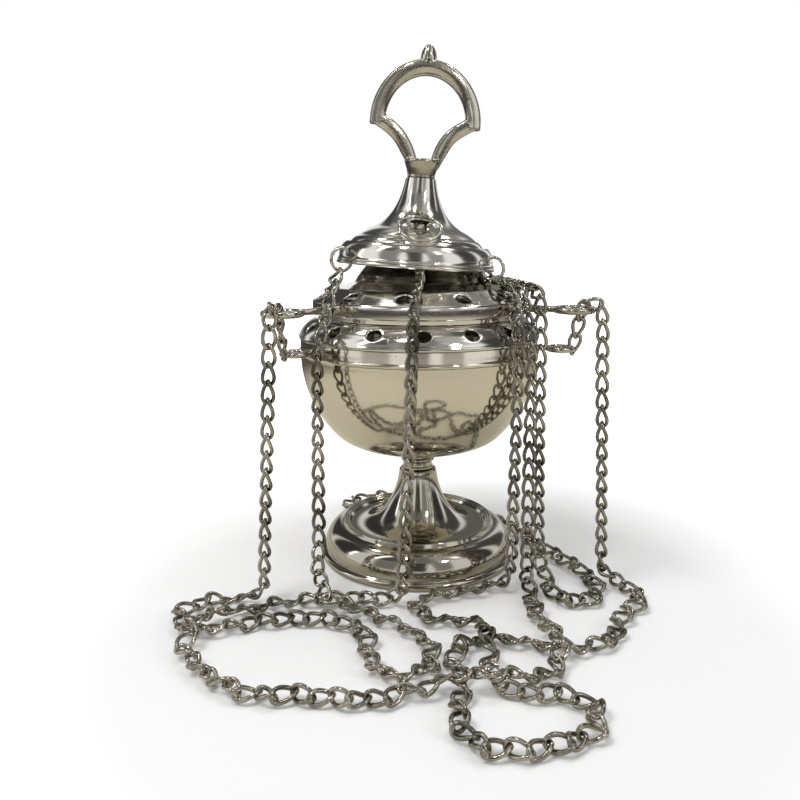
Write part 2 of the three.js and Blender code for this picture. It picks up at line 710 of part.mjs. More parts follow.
// Routes of the rest of each chain, as it was laid down: [x, y, z] from the middle of the foot
const floorRoutes = {
  left: [
    [-69.3, -43.2, 13.3], [-70.2, -43.6, 8], [-75, -45.2, 4], [-83, -45.6, 3], [-91, -45.6, 3],
    [-98.6, -49, 3], [-101.6, -57, 3], [-98.2, -65.2, 3], [-90, -68.6, 3], [-80, -66.6, 3],
    [-70, -64.6, 3], [-58, -64.4, 3], [-47, -66, 3], [-37.6, -71, 3], [-32.2, -79.6, 3],
    [-31.6, -89, 3], [-32, -97, 3], [-28.6, -105, 3], [-20.6, -108.4, 3], [-12.8, -105, 3],
    [-9.6, -97, 3], [-10.6, -87.6, 3], [-15.2, -79, 3], [-21.6, -71.4, 3], [-29, -64.6, 3.4],
    [-37.6, -58.8, 5.4], [-44.6, -53.4, 8.6], [-48, -46.6, 11.6], [-47.6, -40, 16],
    [-47.1, -37.1, 22],
  ],
  lid: [
    [-14.6, -55.4, 13.3], [-15.6, -55.6, 8], [-20.4, -54.8, 4], [-28, -52.6, 3], [-38, -50.6, 3],
    [-49, -49.6, 3], [-61, -50.6, 3], [-73, -54, 3], [-82, -56.4, 4.4], [-89.6, -61, 8],
    [-94.4, -68.4, 10.2], [-96, -78, 6.2], [-93.4, -88, 3.2], [-87, -97.4, 3], [-79, -106.4, 3],
    [-69, -112.4, 3], [-57.6, -113.6, 3], [-47, -116.6, 3], [-37, -119.4, 3], [-27, -118.6, 3],
    [-17.4, -116, 3.6], [-10, -116, 7.2], [-3.4, -116.4, 10], [4, -117, 10.4], [11.4, -117.4, 10],
    [20, -116.6, 6.2], [28, -112.4, 3.4], [33.4, -105, 5.6], [35, -97, 10.9], [35, -88, 8],
    [34.8, -79, 3.6], [35.4, -70, 3], [36.8, -61, 3], [38.4, -52.6, 4.6], [39.4, -46, 10.4],
    [39.8, -43.6, 18],
  ],
  right: [
    [71.6, -45.9, 13.3], [72.4, -46.6, 8], [76.4, -50.4, 3.8], [80.6, -58, 3], [79.6, -67.4, 3],
    [72.6, -74.6, 3], [65.4, -81, 3], [60.6, -89.4, 3], [53, -96.6, 3], [42.6, -98.4, 3],
    [31, -95, 3], [20, -90.6, 3], [9.6, -88, 3], [1.4, -91, 3], [-2.8, -98.6, 3], [-3.2, -108, 3],
    [-3.8, -118, 3], [-7.4, -128, 3], [-8.4, -137, 3], [-5, -145.4, 3], [3.4, -148.8, 3],
    [14, -148.4, 3], [25, -146.4, 3], [33, -140.6, 3], [34.6, -131.4, 3], [28.4, -124.8, 3],
    [19, -123.6, 3], [11, -119.8, 3], [8.2, -111, 3], [9.4, -101.4, 4.6], [10.8, -90, 10.2],
    [11.4, -82.4, 8], [8, -76.2, 3.8], [0.4, -73.4, 3], [-7.4, -70.6, 3], [-10.6, -62.8, 3],
    [-7.6, -55.2, 3], [0.6, -52.4, 3], [11, -51, 3], [21, -48.6, 3.4], [28.6, -46.6, 6.2],
    [31.8, -45.8, 11], [32.4, -45.7, 17],
  ],
  back: [
    [9.8, 73.8, 13.3], [9.2, 73.8, 8], [4.6, 73, 4], [-2.6, 71, 3], [-10.4, 69, 3], [-18, 67.2, 3],
    [-26, 63.8, 3], [-29.2, 56, 3], [-25.8, 48.6, 3], [-18, 46.6, 3], [-8, 50.4, 3], [3, 51.2, 3],
    [14, 49.4, 3], [25, 45, 3], [35, 38, 3], [43.6, 29, 3], [49.8, 17, 3], [53.4, 4, 3],
    [56, -9, 3], [60.4, -21, 3], [65, -33, 3], [67, -45, 3], [66.4, -56, 3], [60.6, -64.6, 3],
    [53, -66, 3], [47.6, -59, 3], [46.6, -50, 4], [46.6, -42.6, 9], [46.5, -38.4, 16.8],
  ],
};

// From the cap's rings or the finial's eye, over the lid and down to the floor
const leftTop = [
  [-35.9, -15.3, 132.9], [-38.1, -20.2, 126.8], [-40.2, -27.4, 122.4], [-42, -31.8, 114.6],
  [-45.2, -34.7, 104], [-46, -35.4, 94], [-47, -37, 23.8],
];
const leftTopTurns = [[-0.08, 0.78, -0.6], 306];
const rightTop = [
  [28.9, -22.2, 129], [31.1, -28.7, 124.7], [32.8, -36, 120.9], [32.4, -42, 113.2],
  [32.4, -46.8, 104], [32.4, -47, 94], [32.4, -45.7, 18.2],
];
const rightTopTurns = [[-0.93, -0.37, 0.08], 35];
const backTopStart = [[0.9, 37.5, 131.2], [9.2, 37.8, 128], [17.2, 35.4, 126.2]];
const backTopTurns = [[0.26, -0.78, 0.55], 90];
const backTop = [
  [15.6, 36, 126.3], [24.6, 31, 126], [32.4, 22.6, 125.8], [37.4, 12, 125.4], [40.4, 1, 125],
  [42.6, -9.6, 124.2], [44, -19, 123.6], [45, -26, 123.3], [45.3, -31, 120.1],
  [44.8, -34, 112.4], [44.8, -35.6, 103.4], [44.9, -35.7, 92], [46.5, -37.8, 18],
];
const lidDropStart = [[0, 0.5, 148.6], [-0.8, -7.2, 146.2], [-1.8, -14.6, 144.2]];
const lidDropTurns = [[0.94, -0.1, 0.33], 0];
const lidDropInside = [
  [-1.4, -12.4, 144.8], [-2.4, -17, 142.8], [-3.1, -22.3, 139.4], [-3.8, -26.7, 134.8],
  [-4.4, -30.4, 130.4], [-5.2, -34.4, 127.2], [-6.8, -39, 125],
];
const lidDrop = [
  [-6.6, -38.4, 125.2], [-8.6, -45.4, 122.6], [-10, -50.8, 116.2], [-11, -54, 108],
  [-11.4, -56.2, 101], [-11.8, -56.4, 92], [-14.4, -55.4, 14.6],
];
const lidReturnStart = [[-1.7, -19.7, 154], [-0.9, -10.9, 150.9], [5.8, -8.8, 146.9]];
const lidReturnTurns = [[0.6, -0.5, 0.6], 0];
const lidReturnInside = [
  [4.4, -9.2, 147.8], [9.4, -9.8, 145.4], [13.8, -10.6, 142.2], [18.4, -11.4, 138.4],
  [22.2, -12.4, 134.6], [24.2, -13.5, 131.2], [25.2, -14.2, 128.2], [27.6, -15.7, 126.4],
  [31.4, -17.4, 125.5], [35.4, -19.4, 124.9],
];
const lidReturn = [
  [34.4, -18.4, 125.6], [37.4, -24, 124], [39, -30.8, 120.6], [38.6, -36.8, 112.6],
  [39.3, -41.6, 103.4], [39.3, -41.6, 92], [39.9, -43.2, 19],
];

const points = (list) => list.map(([x, y, z]) => vec(x, y, z));

// The model as a scene graph. Its origin lies under the middle of the rigid pieces, which reach out to
// the lid's loop at the back and to the bowl's bead in front.
const censer = new THREE.Group();
const backReach = lidLoopReach + lidLoopRadius + lidLoopWire;
const frontReach = bowlRadius + rimBead;
censer.position.y = (frontReach - backReach) / 2;

const add = (parent, name, geometry, material) => {
  const mesh = new THREE.Mesh(geometry, material);
  mesh.name = name;
  parent.add(mesh);
  return mesh;
};

const solid = (geometry) => toGeometry(toManifold(geometry));

add(censer, 'foot', solid(foot()), plate);
add(censer, 'collar', solid(collar()), plate);
add(censer, 'bowl', solid(bowl()), plate);
add(censer, 'tie_bolt', solid(tieBolt()), steel);
add(censer, 'tie_washer', solid(disc(
  boltWasherRadius,
  tieWasherTop - boltWasherHeight,
  tieWasherTop,
  boltRadius + gap,
  smallFacets,
)), steel);
add(censer, 'tie_nut', hexNut(
  boltNutRadius,
  tieNutTop - boltNutHeight,
  boltNutHeight,
  boltRadius + gap,
), steel);
add(censer, 'charcoal_pan', solid(pan()), steel);
add(censer, 'lid_skirt', lidSkirt(), plate);
add(censer, 'lid_crown', lidCrown(), plate);
add(censer, 'lid_finial', lidFinial(), cast);

for (const [side, angle] of Object.entries(loopAngles)) {
  const bowlLoop = loop(
    bowlLoopReach,
    bowlLoopRadius,
    bowlLoopWire,
    bowlArmWidth,
    bowlRadius,
    bandBottom + rimBandHeight / 2,
  );
  add(censer, `bowl_loop_${side}`, bowlLoop, cast).rotation.z = rad(angle);
  const lidLoop = loop(
    lidLoopReach,
    lidLoopRadius,
    lidLoopWire,
    lidArmWidth,
    crownRadius,
    crownBand + crownBandHeight / 2,
  );
  add(censer, `lid_loop_${side}`, lidLoop, cast).rotation.z = rad(angle);
}

for (const side of Object.keys(loopAngles)) {
  add(censer, `chain_${side}_hang`, hang(side), chainMetal);
  add(censer, `chain_${side}_floor`, solid(lying(floorRoutes[side])), chainMetal);
}
add(censer, 'chain_left_top', linkRun(hingesAlong(leftTop), leftTopTurns), chainMetal);
add(censer, 'chain_right_top', linkRun(hingesAlong(rightTop), rightTopTurns), chainMetal);
add(censer, 'chain_back_top', join(
  linkRun(points(backTopStart), backTopTurns),
  lying(backTop),
), chainMetal);
add(censer, 'lid_chain_drop', join(
  linkRun(points(lidDropStart), lidDropTurns),
  lying(lidDropInside, chainFlat, chainStep / 2),
  linkRun(hingesAlong(lidDrop), [0]),
), chainMetal);
add(censer, 'lid_chain_floor', solid(lying(floorRoutes.lid)), chainMetal);
add(censer, 'lid_chain_return', join(
  linkRun(points(lidReturnStart), lidReturnTurns),
  lying(lidReturnInside, chainFlat, chainStep / 2),
  lying(lidReturn),
), chainMetal);

const cap = new THREE.Group();
cap.position.z = finialTop + gap;
cap.rotation.set(0, rad(capLean), rad(capTurn), 'YXZ');
censer.add(cap);

add(cap, 'cap_bell', bell(), plate).position.z = capMouth;
add(cap, 'handle', handle(), cast);
add(cap, 'handle_washer', solid(disc(
  handleWasherRadius,
  handleWasherTop - handleWasherHeight,
  handleWasherTop,
  shankRadius + gap,
  smallFacets,
)), steel);
add(cap, 'handle_nut', hexNut(
  handleNutRadius,
  handleNutTop - handleNutHeight,
  handleNutHeight,
  shankRadius + gap,
), steel);

for (const [side, angle] of Object.entries(loopAngles)) {
  const ring = ringOf(capRingRadius, capRingWire, 5, 12).rotateX(Math.PI / 2);
  const hung = add(cap, `cap_ring_${side}`, solid(ring), steel);
  const out = capRingRadius * Math.sin(rad(capRingSwing));
  const down = capRingRadius * Math.cos(rad(capRingSwing));
  const reach = capMouthRadius - capRingInset + out;
  hung.position.copy(polar(reach, angle, capMouth + capRingHoleHeight - down));
  hung.rotation.z = rad(angle);
}

const pullRing = add(cap, 'pull_ring', solid(splitRing()), steel);
pullRing.position.copy(polar(pullRingReach, 270, capMouth + pullRingHeight));
pullRing.rotation.x = rad(pullRingTilt);

export default censer;
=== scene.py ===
"""The looks of a silver-plated censer: spun foot, bowl, pierced lid and leaning cap with a cast bow
handle, and four curb chains laid out round it. Sizes are millimetres from the censer's own axis."""

import math

import bmesh
import bpy
import numpy as np
from mathutils import Matrix, Vector


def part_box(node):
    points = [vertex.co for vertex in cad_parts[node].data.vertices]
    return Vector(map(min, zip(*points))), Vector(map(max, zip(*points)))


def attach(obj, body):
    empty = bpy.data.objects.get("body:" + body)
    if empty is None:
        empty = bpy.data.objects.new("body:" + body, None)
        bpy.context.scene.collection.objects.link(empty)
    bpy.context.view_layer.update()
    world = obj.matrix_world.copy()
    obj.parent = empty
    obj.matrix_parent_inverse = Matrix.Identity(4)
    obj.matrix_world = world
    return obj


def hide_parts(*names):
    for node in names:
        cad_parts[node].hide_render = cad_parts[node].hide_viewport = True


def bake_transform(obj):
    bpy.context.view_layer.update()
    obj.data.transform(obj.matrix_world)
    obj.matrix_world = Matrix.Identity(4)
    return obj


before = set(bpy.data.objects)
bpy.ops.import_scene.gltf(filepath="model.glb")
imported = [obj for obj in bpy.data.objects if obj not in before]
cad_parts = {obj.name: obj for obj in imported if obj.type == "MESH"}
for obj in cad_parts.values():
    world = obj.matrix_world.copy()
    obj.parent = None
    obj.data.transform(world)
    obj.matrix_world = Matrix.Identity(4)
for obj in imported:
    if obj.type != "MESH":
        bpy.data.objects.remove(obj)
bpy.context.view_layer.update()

# Places

MM = 0.001
GAP = 0.3  # between pieces that seat on each other
WALL = 1.1  # spun sheet
SIDES = {"left": 210, "right": 330, "back": 90}  # degrees round the bowl, 0 along +X
CAP_LEAN = 3.6  # degrees, towards +X
CAP_TURN = -6.0
BELL_DROP = 27.0  # from the cap's seat on the finial down to its mouth


def middle_of(node):
    low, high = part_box(node)
    return (low + high) / 2


def bottom_of(node):
    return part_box(node)[0].z / MM


def top_of(node):
    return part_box(node)[1].z / MM


def polar(radius, degrees, height=0.0):
    a = math.radians(degrees)
    return Vector((radius * math.cos(a), radius * math.sin(a), height))


def move_by(x, y, z):
    return Matrix.Translation((x, y, z))


def turn_by(degrees, axis):
    return Matrix.Rotation(math.radians(degrees), 4, axis)


def new_object(name, data):
    made = bpy.data.objects.new(name, data)
    bpy.context.scene.collection.objects.link(made)
    return made


foot_middle = middle_of("foot")
STANDING = move_by(foot_middle.x, foot_middle.y, 0) @ Matrix.Scale(MM, 4)
CAP_SEAT = top_of("lid_finial") + GAP
CAPPED = STANDING @ move_by(0, 0, CAP_SEAT) @ turn_by(CAP_LEAN, "Y") @ turn_by(CAP_TURN, "Z")

# Camera

LENS = 33.75
SENSOR = 36.0
VIEW_TURN = -7.6  # degrees that the photograph's line of sight is turned from +Y
VIEW_PLACE = (-8.3, -333.2, 144.6)  # before that turn
VIEW_PITCH = 12.19  # degrees below the horizon


def make_camera():
    data = bpy.data.cameras.new("camera")
    data.lens = LENS
    data.sensor_width = SENSOR
    data.clip_start = 0.01
    data.clip_end = 20
    camera = new_object("camera", data)
    turn = turn_by(VIEW_TURN, "Z")
    place = STANDING @ turn @ Vector(VIEW_PLACE)
    camera.matrix_world = move_by(*place) @ turn @ turn_by(90 - VIEW_PITCH, "X")
    bpy.context.scene.camera = camera


make_camera()

# Node groups for the metals


def new_group(name, inputs, outputs):
    """A node group, the sockets that its inputs give and those that its outputs take."""
    group = bpy.data.node_groups.new(name, "ShaderNodeTree")
    for label, value in inputs.items():
        kind = "NodeSocketVector" if isinstance(value, tuple) else "NodeSocketFloat"
        socket = group.interface.new_socket(label, in_out="INPUT", socket_type=kind)
        socket.default_value = value
    for label in outputs:
        group.interface.new_socket(label, in_out="OUTPUT", socket_type="NodeSocketFloat")
    given, out = group.nodes.new("NodeGroupInput"), group.nodes.new("NodeGroupOutput")
    return group, given.outputs, out.inputs


def add_node(tree, kind, links=(), **settings):
    """A shader node with its settings; links fills its inputs from sockets or values."""
    made = tree.nodes.new("ShaderNode" + kind)
    for key, value in settings.items():
        setattr(made, key, value)
    for key, source in dict(links).items():
        if isinstance(source, bpy.types.NodeSocket):
            tree.links.new(source, made.inputs[key])
        else:
            made.inputs[key].default_value = source
    return made


def object_place(tree):
    return add_node(tree, "TexCoord").outputs["Object"]


def maths(tree, operation, *values):
    return add_node(tree, "Math", dict(enumerate(values)), operation=operation).outputs[0]


def mapped(tree, value, low, high, to_low=0.0, to_high=1.0):
    links = {0: value, 1: low, 2: high, 3: to_low, 4: to_high}
    return add_node(tree, "MapRange", links).outputs[0]


def noise_of(tree, vector, scale, detail=3.0, roughness=0.5):
    links = {"Vector": vector, "Scale": scale, "Detail": detail, "Roughness": roughness}
    return add_node(tree, "TexNoise", links).outputs["Fac"]


def make_spun_lines():
    """Fine rings that the spinning and polishing leave round an axis."""
    tree, given, out = new_group(
        "Spun Lines", {"Centre": (0, 0, 0), "Lean": 0.0, "Lines per metre": 900.0}, ["Height"]
    )
    at = object_place(tree)
    links = {0: at, 1: given["Centre"]}
    moved = add_node(tree, "VectorMath", links, operation="SUBTRACT").outputs[0]
    back = maths(tree, "MULTIPLY", given["Lean"], -1.0)
    links = {"Vector": moved, "Angle": back}
    upright = add_node(tree, "VectorRotate", links, rotation_type="Y_AXIS").outputs[0]
    parts = add_node(tree, "SeparateXYZ", {0: upright})
    across = maths(tree, "POWER", parts.outputs["X"], 2.0)
    deep = maths(tree, "POWER", parts.outputs["Y"], 2.0)
    radius = maths(tree, "SQRT", maths(tree, "ADD", across, deep))
    flat = add_node(tree, "CombineXYZ", {0: radius, 1: parts.outputs["Z"]}).outputs[0]
    fine = noise_of(tree, flat, given["Lines per metre"], 3.0, 0.6)
    broad = noise_of(tree, flat, 160.0, 1.0)
    even = noise_of(tree, at, 55.0, 2.0)
    lines = maths(tree, "MULTIPLY", fine, mapped(tree, even, 0.35, 0.65, 0.25, 1.0))
    tree.links.new(maths(tree, "MULTIPLY_ADD", broad, 1.5, lines), out["Height"])
    return tree


def make_hand_scratches():
    """Short hairlines in a few directions, gathered in patches."""
    tree, given, out = new_group(
        "Hand Scratches", {"Cover": 0.5, "Fineness": 700.0}, ["Mask"]
    )
    at = object_place(tree)
    ways = [(0.3, 0.2, 0.5), (1.3, 0.4, 2.1), (0.1, 1.2, 3.6), (2.2, 0.7, 1.1)]
    total = None
    for turn in ways:
        links = {"Vector": at, "Rotation": turn}
        turned_at = add_node(tree, "VectorRotate", links, rotation_type="EULER_XYZ").outputs[0]
        links = {0: turned_at, 1: (1.0, 0.035, 1.0)}
        drawn = add_node(tree, "VectorMath", links, operation="MULTIPLY").outputs[0]
        line = mapped(tree, noise_of(tree, drawn, given["Fineness"], 2.0), 0.66, 0.74)
        total = line if total is None else maths(tree, "MAXIMUM", total, line)
    patch = noise_of(tree, at, 60.0, 2.0)
    edge = maths(tree, "SUBTRACT", 0.85, maths(tree, "MULTIPLY", given["Cover"], 0.6))
    where = mapped(tree, patch, edge, maths(tree, "ADD", edge, 0.15))
    tree.links.new(maths(tree, "MULTIPLY", total, where), out["Mask"])
    return tree


def make_tarnish():
    """Soft clouds and small specks where the plate has dulled."""
    tree, given, out = new_group(
        "Tarnish", {"Cloud size": 40.0, "Speck size": 900.0}, ["Clouds", "Specks"]
    )
    at = object_place(tree)
    clouds = noise_of(tree, at, given["Cloud size"], 5.0, 0.62)
    specks = noise_of(tree, at, given["Speck size"], 3.0, 0.7)
    tree.links.new(mapped(tree, clouds, 0.42, 0.72), out["Clouds"])
    tree.links.new(mapped(tree, specks, 0.6, 0.75), out["Specks"])
    return tree


def make_cast_grain():
    """The faint pitting of a casting that was polished but not spun."""
    tree, given, out = new_group("Cast Grain", {"Grain size": 700.0}, ["Height"])
    at = object_place(tree)
    grain = noise_of(tree, at, given["Grain size"], 3.0, 0.6)
    waves = noise_of(tree, at, 220.0, 2.0)
    tree.links.new(maths(tree, "MULTIPLY_ADD", waves, 2.0, grain), out["Height"])
    return tree


TARNISH_DULLS = 0.22  # roughness that full tarnish adds
SCRATCHES_DULL = 0.16
SPUN_LINES = make_spun_lines()
HAND_SCRATCHES = make_hand_scratches()
TARNISH = make_tarnish()
CAST_GRAIN = make_cast_grain()


def placed_group(tree, group, **values):
    links = {key.replace("_", " "): value for key, value in values.items()}
    return add_node(tree, "Group", links, node_tree=group).outputs


def new_material(name):
    material = bpy.data.materials.new(name)
    material.use_nodes = True
    return material, material.node_tree


def set_look(tree, shader):
    tree.links.new(shader.outputs[0], tree.nodes["Material Output"].inputs["Surface"])


def metal(name, tint, dull, polish, relief, scratches, clouds, spun=None, grain=None):
    """Polished metal: tint and dull are its clean and tarnished colours, polish its clean
    roughness, relief the depth of its marks in metres, scratches and clouds how much it has."""
    material, tree = new_material(name)
    shader = tree.nodes["Principled BSDF"]
    shader.inputs["Metallic"].default_value = 1.0
    marks = placed_group(tree, HAND_SCRATCHES, Cover=scratches, Fineness=700.0)["Mask"]
    stain = placed_group(tree, TARNISH, Cloud_size=38.0, Speck_size=950.0)
    cloud = maths(tree, "MULTIPLY", stain["Clouds"], clouds)
    speck = maths(tree, "MULTIPLY", stain["Specks"], clouds * 0.6)
    worn = maths(tree, "MAXIMUM", cloud, speck)
    links = {0: worn, 6: (*tint, 1.0), 7: (*dull, 1.0)}
    colour = add_node(tree, "Mix", links, data_type="RGBA")
    tree.links.new(colour.outputs[2], shader.inputs["Base Color"])
    rough = maths(tree, "MULTIPLY_ADD", worn, TARNISH_DULLS, polish)
    rough = maths(tree, "MULTIPLY_ADD", marks, SCRATCHES_DULL, rough)
    tree.links.new(rough, shader.inputs["Roughness"])
    if spun:
        height = placed_group(tree, SPUN_LINES, **spun)["Height"]
    else:
        height = placed_group(tree, CAST_GRAIN, Grain_size=grain)["Height"]
    height = maths(tree, "SUBTRACT", height, maths(tree, "MULTIPLY", marks, 0.8))
    bump = add_node(tree, "Bump", {"Strength": 1.0, "Distance": relief, "Height": height})
    tree.links.new(bump.outputs["Normal"], shader.inputs["Normal"])
    return material


PALE_NICKEL = (0.75, 0.73, 0.68)
WARM_NICKEL = (0.70, 0.655, 0.56)
OLD_NICKEL = (0.44, 0.405, 0.33)
UPRIGHT = {"Centre": (foot_middle.x, foot_middle.y, 0.0), "Lean": 0.0}
LEANING = {"Centre": tuple(CAPPED.to_translation()), "Lean": math.radians(CAP_LEAN)}


def spun_plate(name, tint, polish, lines, place, clouds=0.2, scratches=0.5, relief=0.000012):
    spun = {**place, "Lines per metre": lines}
    return metal(name, tint, OLD_NICKEL, polish, relief, scratches, clouds, spun=spun)


FOOT_PLATE = spun_plate("foot plate", (0.48, 0.456, 0.395), 0.08, 1100.0, UPRIGHT)
BOWL_PLATE = spun_plate("bowl plate", WARM_NICKEL, 0.085, 900.0, UPRIGHT, 0.15, relief=0.000016)
LID_PLATE = spun_plate("lid plate", PALE_NICKEL, 0.09, 1000.0, UPRIGHT, scratches=0.7)
CAP_PLATE = spun_plate("cap plate", PALE_NICKEL, 0.12, 1000.0, LEANING)
CAST_PLATE = metal(
    "cast plate", (0.58, 0.55, 0.48), (0.26, 0.23, 0.17), 0.14, 0.00005, 0.4, 0.7, grain=380.0
)
RING_WIRE = metal(
    "ring wire", (0.74, 0.72, 0.66), (0.46, 0.42, 0.35), 0.12, 0.00002, 0.3, 0.5, grain=900.0
)
CHAIN_WIRE = metal(
    "chain wire", (0.46, 0.435, 0.38), (0.075, 0.065, 0.045), 0.085, 0.00002, 0.2, 1.0, grain=900.0
)
IRON = metal("iron", (0.5, 0.48, 0.45), (0.25, 0.22, 0.19), 0.34, 0.00005, 0.5, 0.6, grain=500.0)
PAN_PLATE = spun_plate("pan plate", (0.6, 0.57, 0.52), 0.3, 700.0, UPRIGHT, 0.8)

# Meshes


def mesh_of(name, part, place=Matrix()):
    """part is its points and faces, and place where they go."""
    mesh = bpy.data.meshes.new(name)
    mesh.from_pydata([place @ Vector(p) for p in part[0]], [], part[1])
    return mesh


def add_piece(name, part, place, material, body, node=None, sharp=38.0):
    return finish_piece(name, mesh_of(name, part, place), material, body, node, sharp)


def finish_piece(name, mesh, material, body, node=None, sharp=38.0):
    """A piece that rides on a body and may stand for a node; sharp is an edge's least angle."""
    mesh.validate()
    mesh.materials.clear()
    mesh.materials.append(material)
    mesh.shade_smooth()
    mesh.set_sharp_from_angle(angle=math.radians(sharp))
    piece = new_object(name, mesh)
    if body:
        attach(piece, body)
    if node:
        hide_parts(node)
    return piece


def joined(*parts):
    """Several (points, faces) as one."""
    points, faces = [], []
    for some_points, some_faces in parts:
        start = len(points)
        points += [tuple(p) for p in some_points]
        faces += [tuple(i + start for i in face) for face in some_faces]
    return points, faces


def moved(part, matrix):
    return [tuple(matrix @ Vector(p)) for p in part[0]], part[1]


def softened(outline, radius=0.25, steps=3, closed=True):
    """The outline with its corners rounded off; corners on the axis and open ends stay."""
    soft = []
    count = len(outline)
    for i, (r, z) in enumerate(outline):
        if not closed and i in (0, count - 1):
            soft.append((r, z))
            continue
        here = Vector((r, z))
        before = Vector(outline[i - 1]) - here
        after = Vector(outline[(i + 1) % count]) - here
        bend = math.pi - before.angle(after, math.pi)
        if r < 1e-6 or bend < math.radians(20):
            soft.append((r, z))
            continue
        cut = min(radius * math.tan(bend / 2), before.length * 0.45, after.length * 0.45)
        first = here + before.normalized() * cut
        last = here + after.normalized() * cut
        for k in range(steps + 1):
            t = k / steps
            soft.append(tuple(first * (1 - t) ** 2 + here * 2 * t * (1 - t) + last * t * t))
    return soft


def arc(centre, radii, start, end, steps):
    turns = [math.radians(start + (end - start) * i / steps) for i in range(steps + 1)]
    return [(centre[0] + radii[0] * math.cos(a), centre[1] + radii[1] * math.sin(a)) for a in turns]


def bend(points, steps):
    """Points of a curve with one or two control points, without its first point."""
    if len(points) == 3:
        a, b, c = (Vector(p) for p in points)
        points = [a, a.lerp(b, 2 / 3), c.lerp(b, 2 / 3), c]
    a, b, c, d = (Vector(p) for p in points)
    line = []
    for i in range(1, steps + 1):
        t = i / steps
        s = 1 - t
        line.append(tuple(a * s**3 + b * 3 * s * s * t + c * 3 * s * t * t + d * t**3))
    return line


def beside(line, distance):
    """The same line moved sideways, to its left for a positive distance."""
    shifted = []
    for i, (r, z) in enumerate(line):
        before = Vector(line[max(i - 1, 0)])
        after = Vector(line[min(i + 1, len(line) - 1)])
        along = (after - before).normalized()
        shifted.append((r - along.y * distance, z + along.x * distance))
    return shifted


def turned(outline, segments=160):
    """A body turned about Z from a closed outline of (radius, height), counter-clockwise."""
    points, rings, faces = [], [], []
    for r, z in outline:
        if r < 1e-6:
            rings.append([len(points)])
            points.append((0, 0, z))
        else:
            rings.append(list(range(len(points), len(points) + segments)))
            points += [tuple(polar(r, 360 * i / segments, z)) for i in range(segments)]
    for low, high in zip(rings, rings[1:] + rings[:1]):
        for i in range(segments):
            j = (i + 1) % segments
            if len(low) > 1 and len(high) > 1:
                faces.append((low[i], low[j], high[j], high[i]))
            elif len(low) > 1:
                faces.append((low[i], low[j], high[0]))
            elif len(high) > 1:
                faces.append((low[0], high[j], high[i]))
    return points, faces


def band_faces(rings, sides, closed=False, start=0):
    """Faces between rings of points that follow each other."""
    faces = []
    for i in range(rings if closed else rings - 1):
        a, b = start + i * sides, start + (i + 1) % rings * sides
        for k in range(sides):
            m = (k + 1) % sides
            faces.append((a + k, a + m, b + m, b + k))
    return faces


def swept(line, section, closed=False, up=(0, 1, 0), sizes=None):
    """A bar along a line of points; section gives its (across, up) corners, up is never along the
    line, and sizes is the share of its width that it has at each point."""
    line = [Vector(p) for p in line]
    count, sides = len(line), len(section)
    points = []
    for i, at in enumerate(line):
        ahead = line[(i + 1) % count] if closed or i < count - 1 else at
        behind = line[i - 1] if closed or i > 0 else at
        along = (ahead - behind).normalized()
        across = along.cross(Vector(up)).normalized()
        high = across.cross(along)
        wide = sizes[i] if sizes else 1
        points += [tuple(at + across * x * wide + high * y) for x, y in section]
    faces = band_faces(count, sides, closed)
    if not closed:
        faces.append(tuple(reversed(range(sides))))
        faces.append(tuple(range((count - 1) * sides, count * sides)))
    return points, faces


def round_section(radius, sides=10, flat=1.0):
    turns = [2 * math.pi * k / sides for k in range(sides)]
    return [(radius * math.cos(a), radius * flat * math.sin(a)) for a in turns]


def hoop(radius, wire, steps, sides=12, flat=1.0):
    """A closed ring of wire that lies level."""
    circle = [polar(radius, 360 * i / steps) for i in range(steps)]
    return swept(circle, round_section(wire, sides, flat), closed=True, up=(0, 0, 1))


def smooth_line(points, step=0.6):
    """Points every step or so along a smooth curve through the given points."""
    points = [Vector(p) for p in points]
    ends = [points[0] * 2 - points[1], *points, points[-1] * 2 - points[-2]]
    line = [points[0]]
    for a, b, c, d in zip(ends, ends[1:], ends[2:], ends[3:]):
        t1 = max((b - a).length, 1e-6) ** 0.5
        t2 = t1 + max((c - b).length, 1e-6) ** 0.5
        t3 = t2 + max((d - c).length, 1e-6) ** 0.5
        steps = max(1, round((c - b).length / step))
        for i in range(1, steps + 1):
            t = t1 + (t2 - t1) * i / steps
            p, q = a.lerp(b, t / t1), b.lerp(c, (t - t1) / (t2 - t1))
            r = c.lerp(d, (t - t2) / (t3 - t2))
            u, v = p.lerp(q, t / t2), q.lerp(r, (t - t1) / (t3 - t1))
            line.append(u.lerp(v, (t - t1) / (t2 - t1)))
    return line


# Chains

LINK_PITCH = 7.0
LINK_WIDTH = 6.4  # over all
LINK_WIRE = 0.78  # radius
LINK_TWIST = -45.0  # degrees that each end is turned out of the link's plane
LINK_STEPS = 24
LINK_SIDES = 8
SLACK = 1.17  # share by which the lying chain is longer than its line, as its links zigzag
LIE = 3.1  # height of a lying link's middle above the ground
LAY = 3.0  # height at which the frame's plain solids have it
CROSSING = 10.4  # and the top of their humps
RISE = 16.0  # from here up the chain runs as the solids do
SETTLING = 0.52  # share of a hump's height that the chain itself has
ZIGZAG = 1.75  # way that a lying hinge is put aside
SWAY = 14  # degrees that the links turn to and fro along a chain
ROLL = 34  # and that lying ones turn over
FALL = 0.93  # upright share of a link's length, from which it counts as hanging
HOOKED_LINKS = 7  # at the start of a chain, which don't hang free


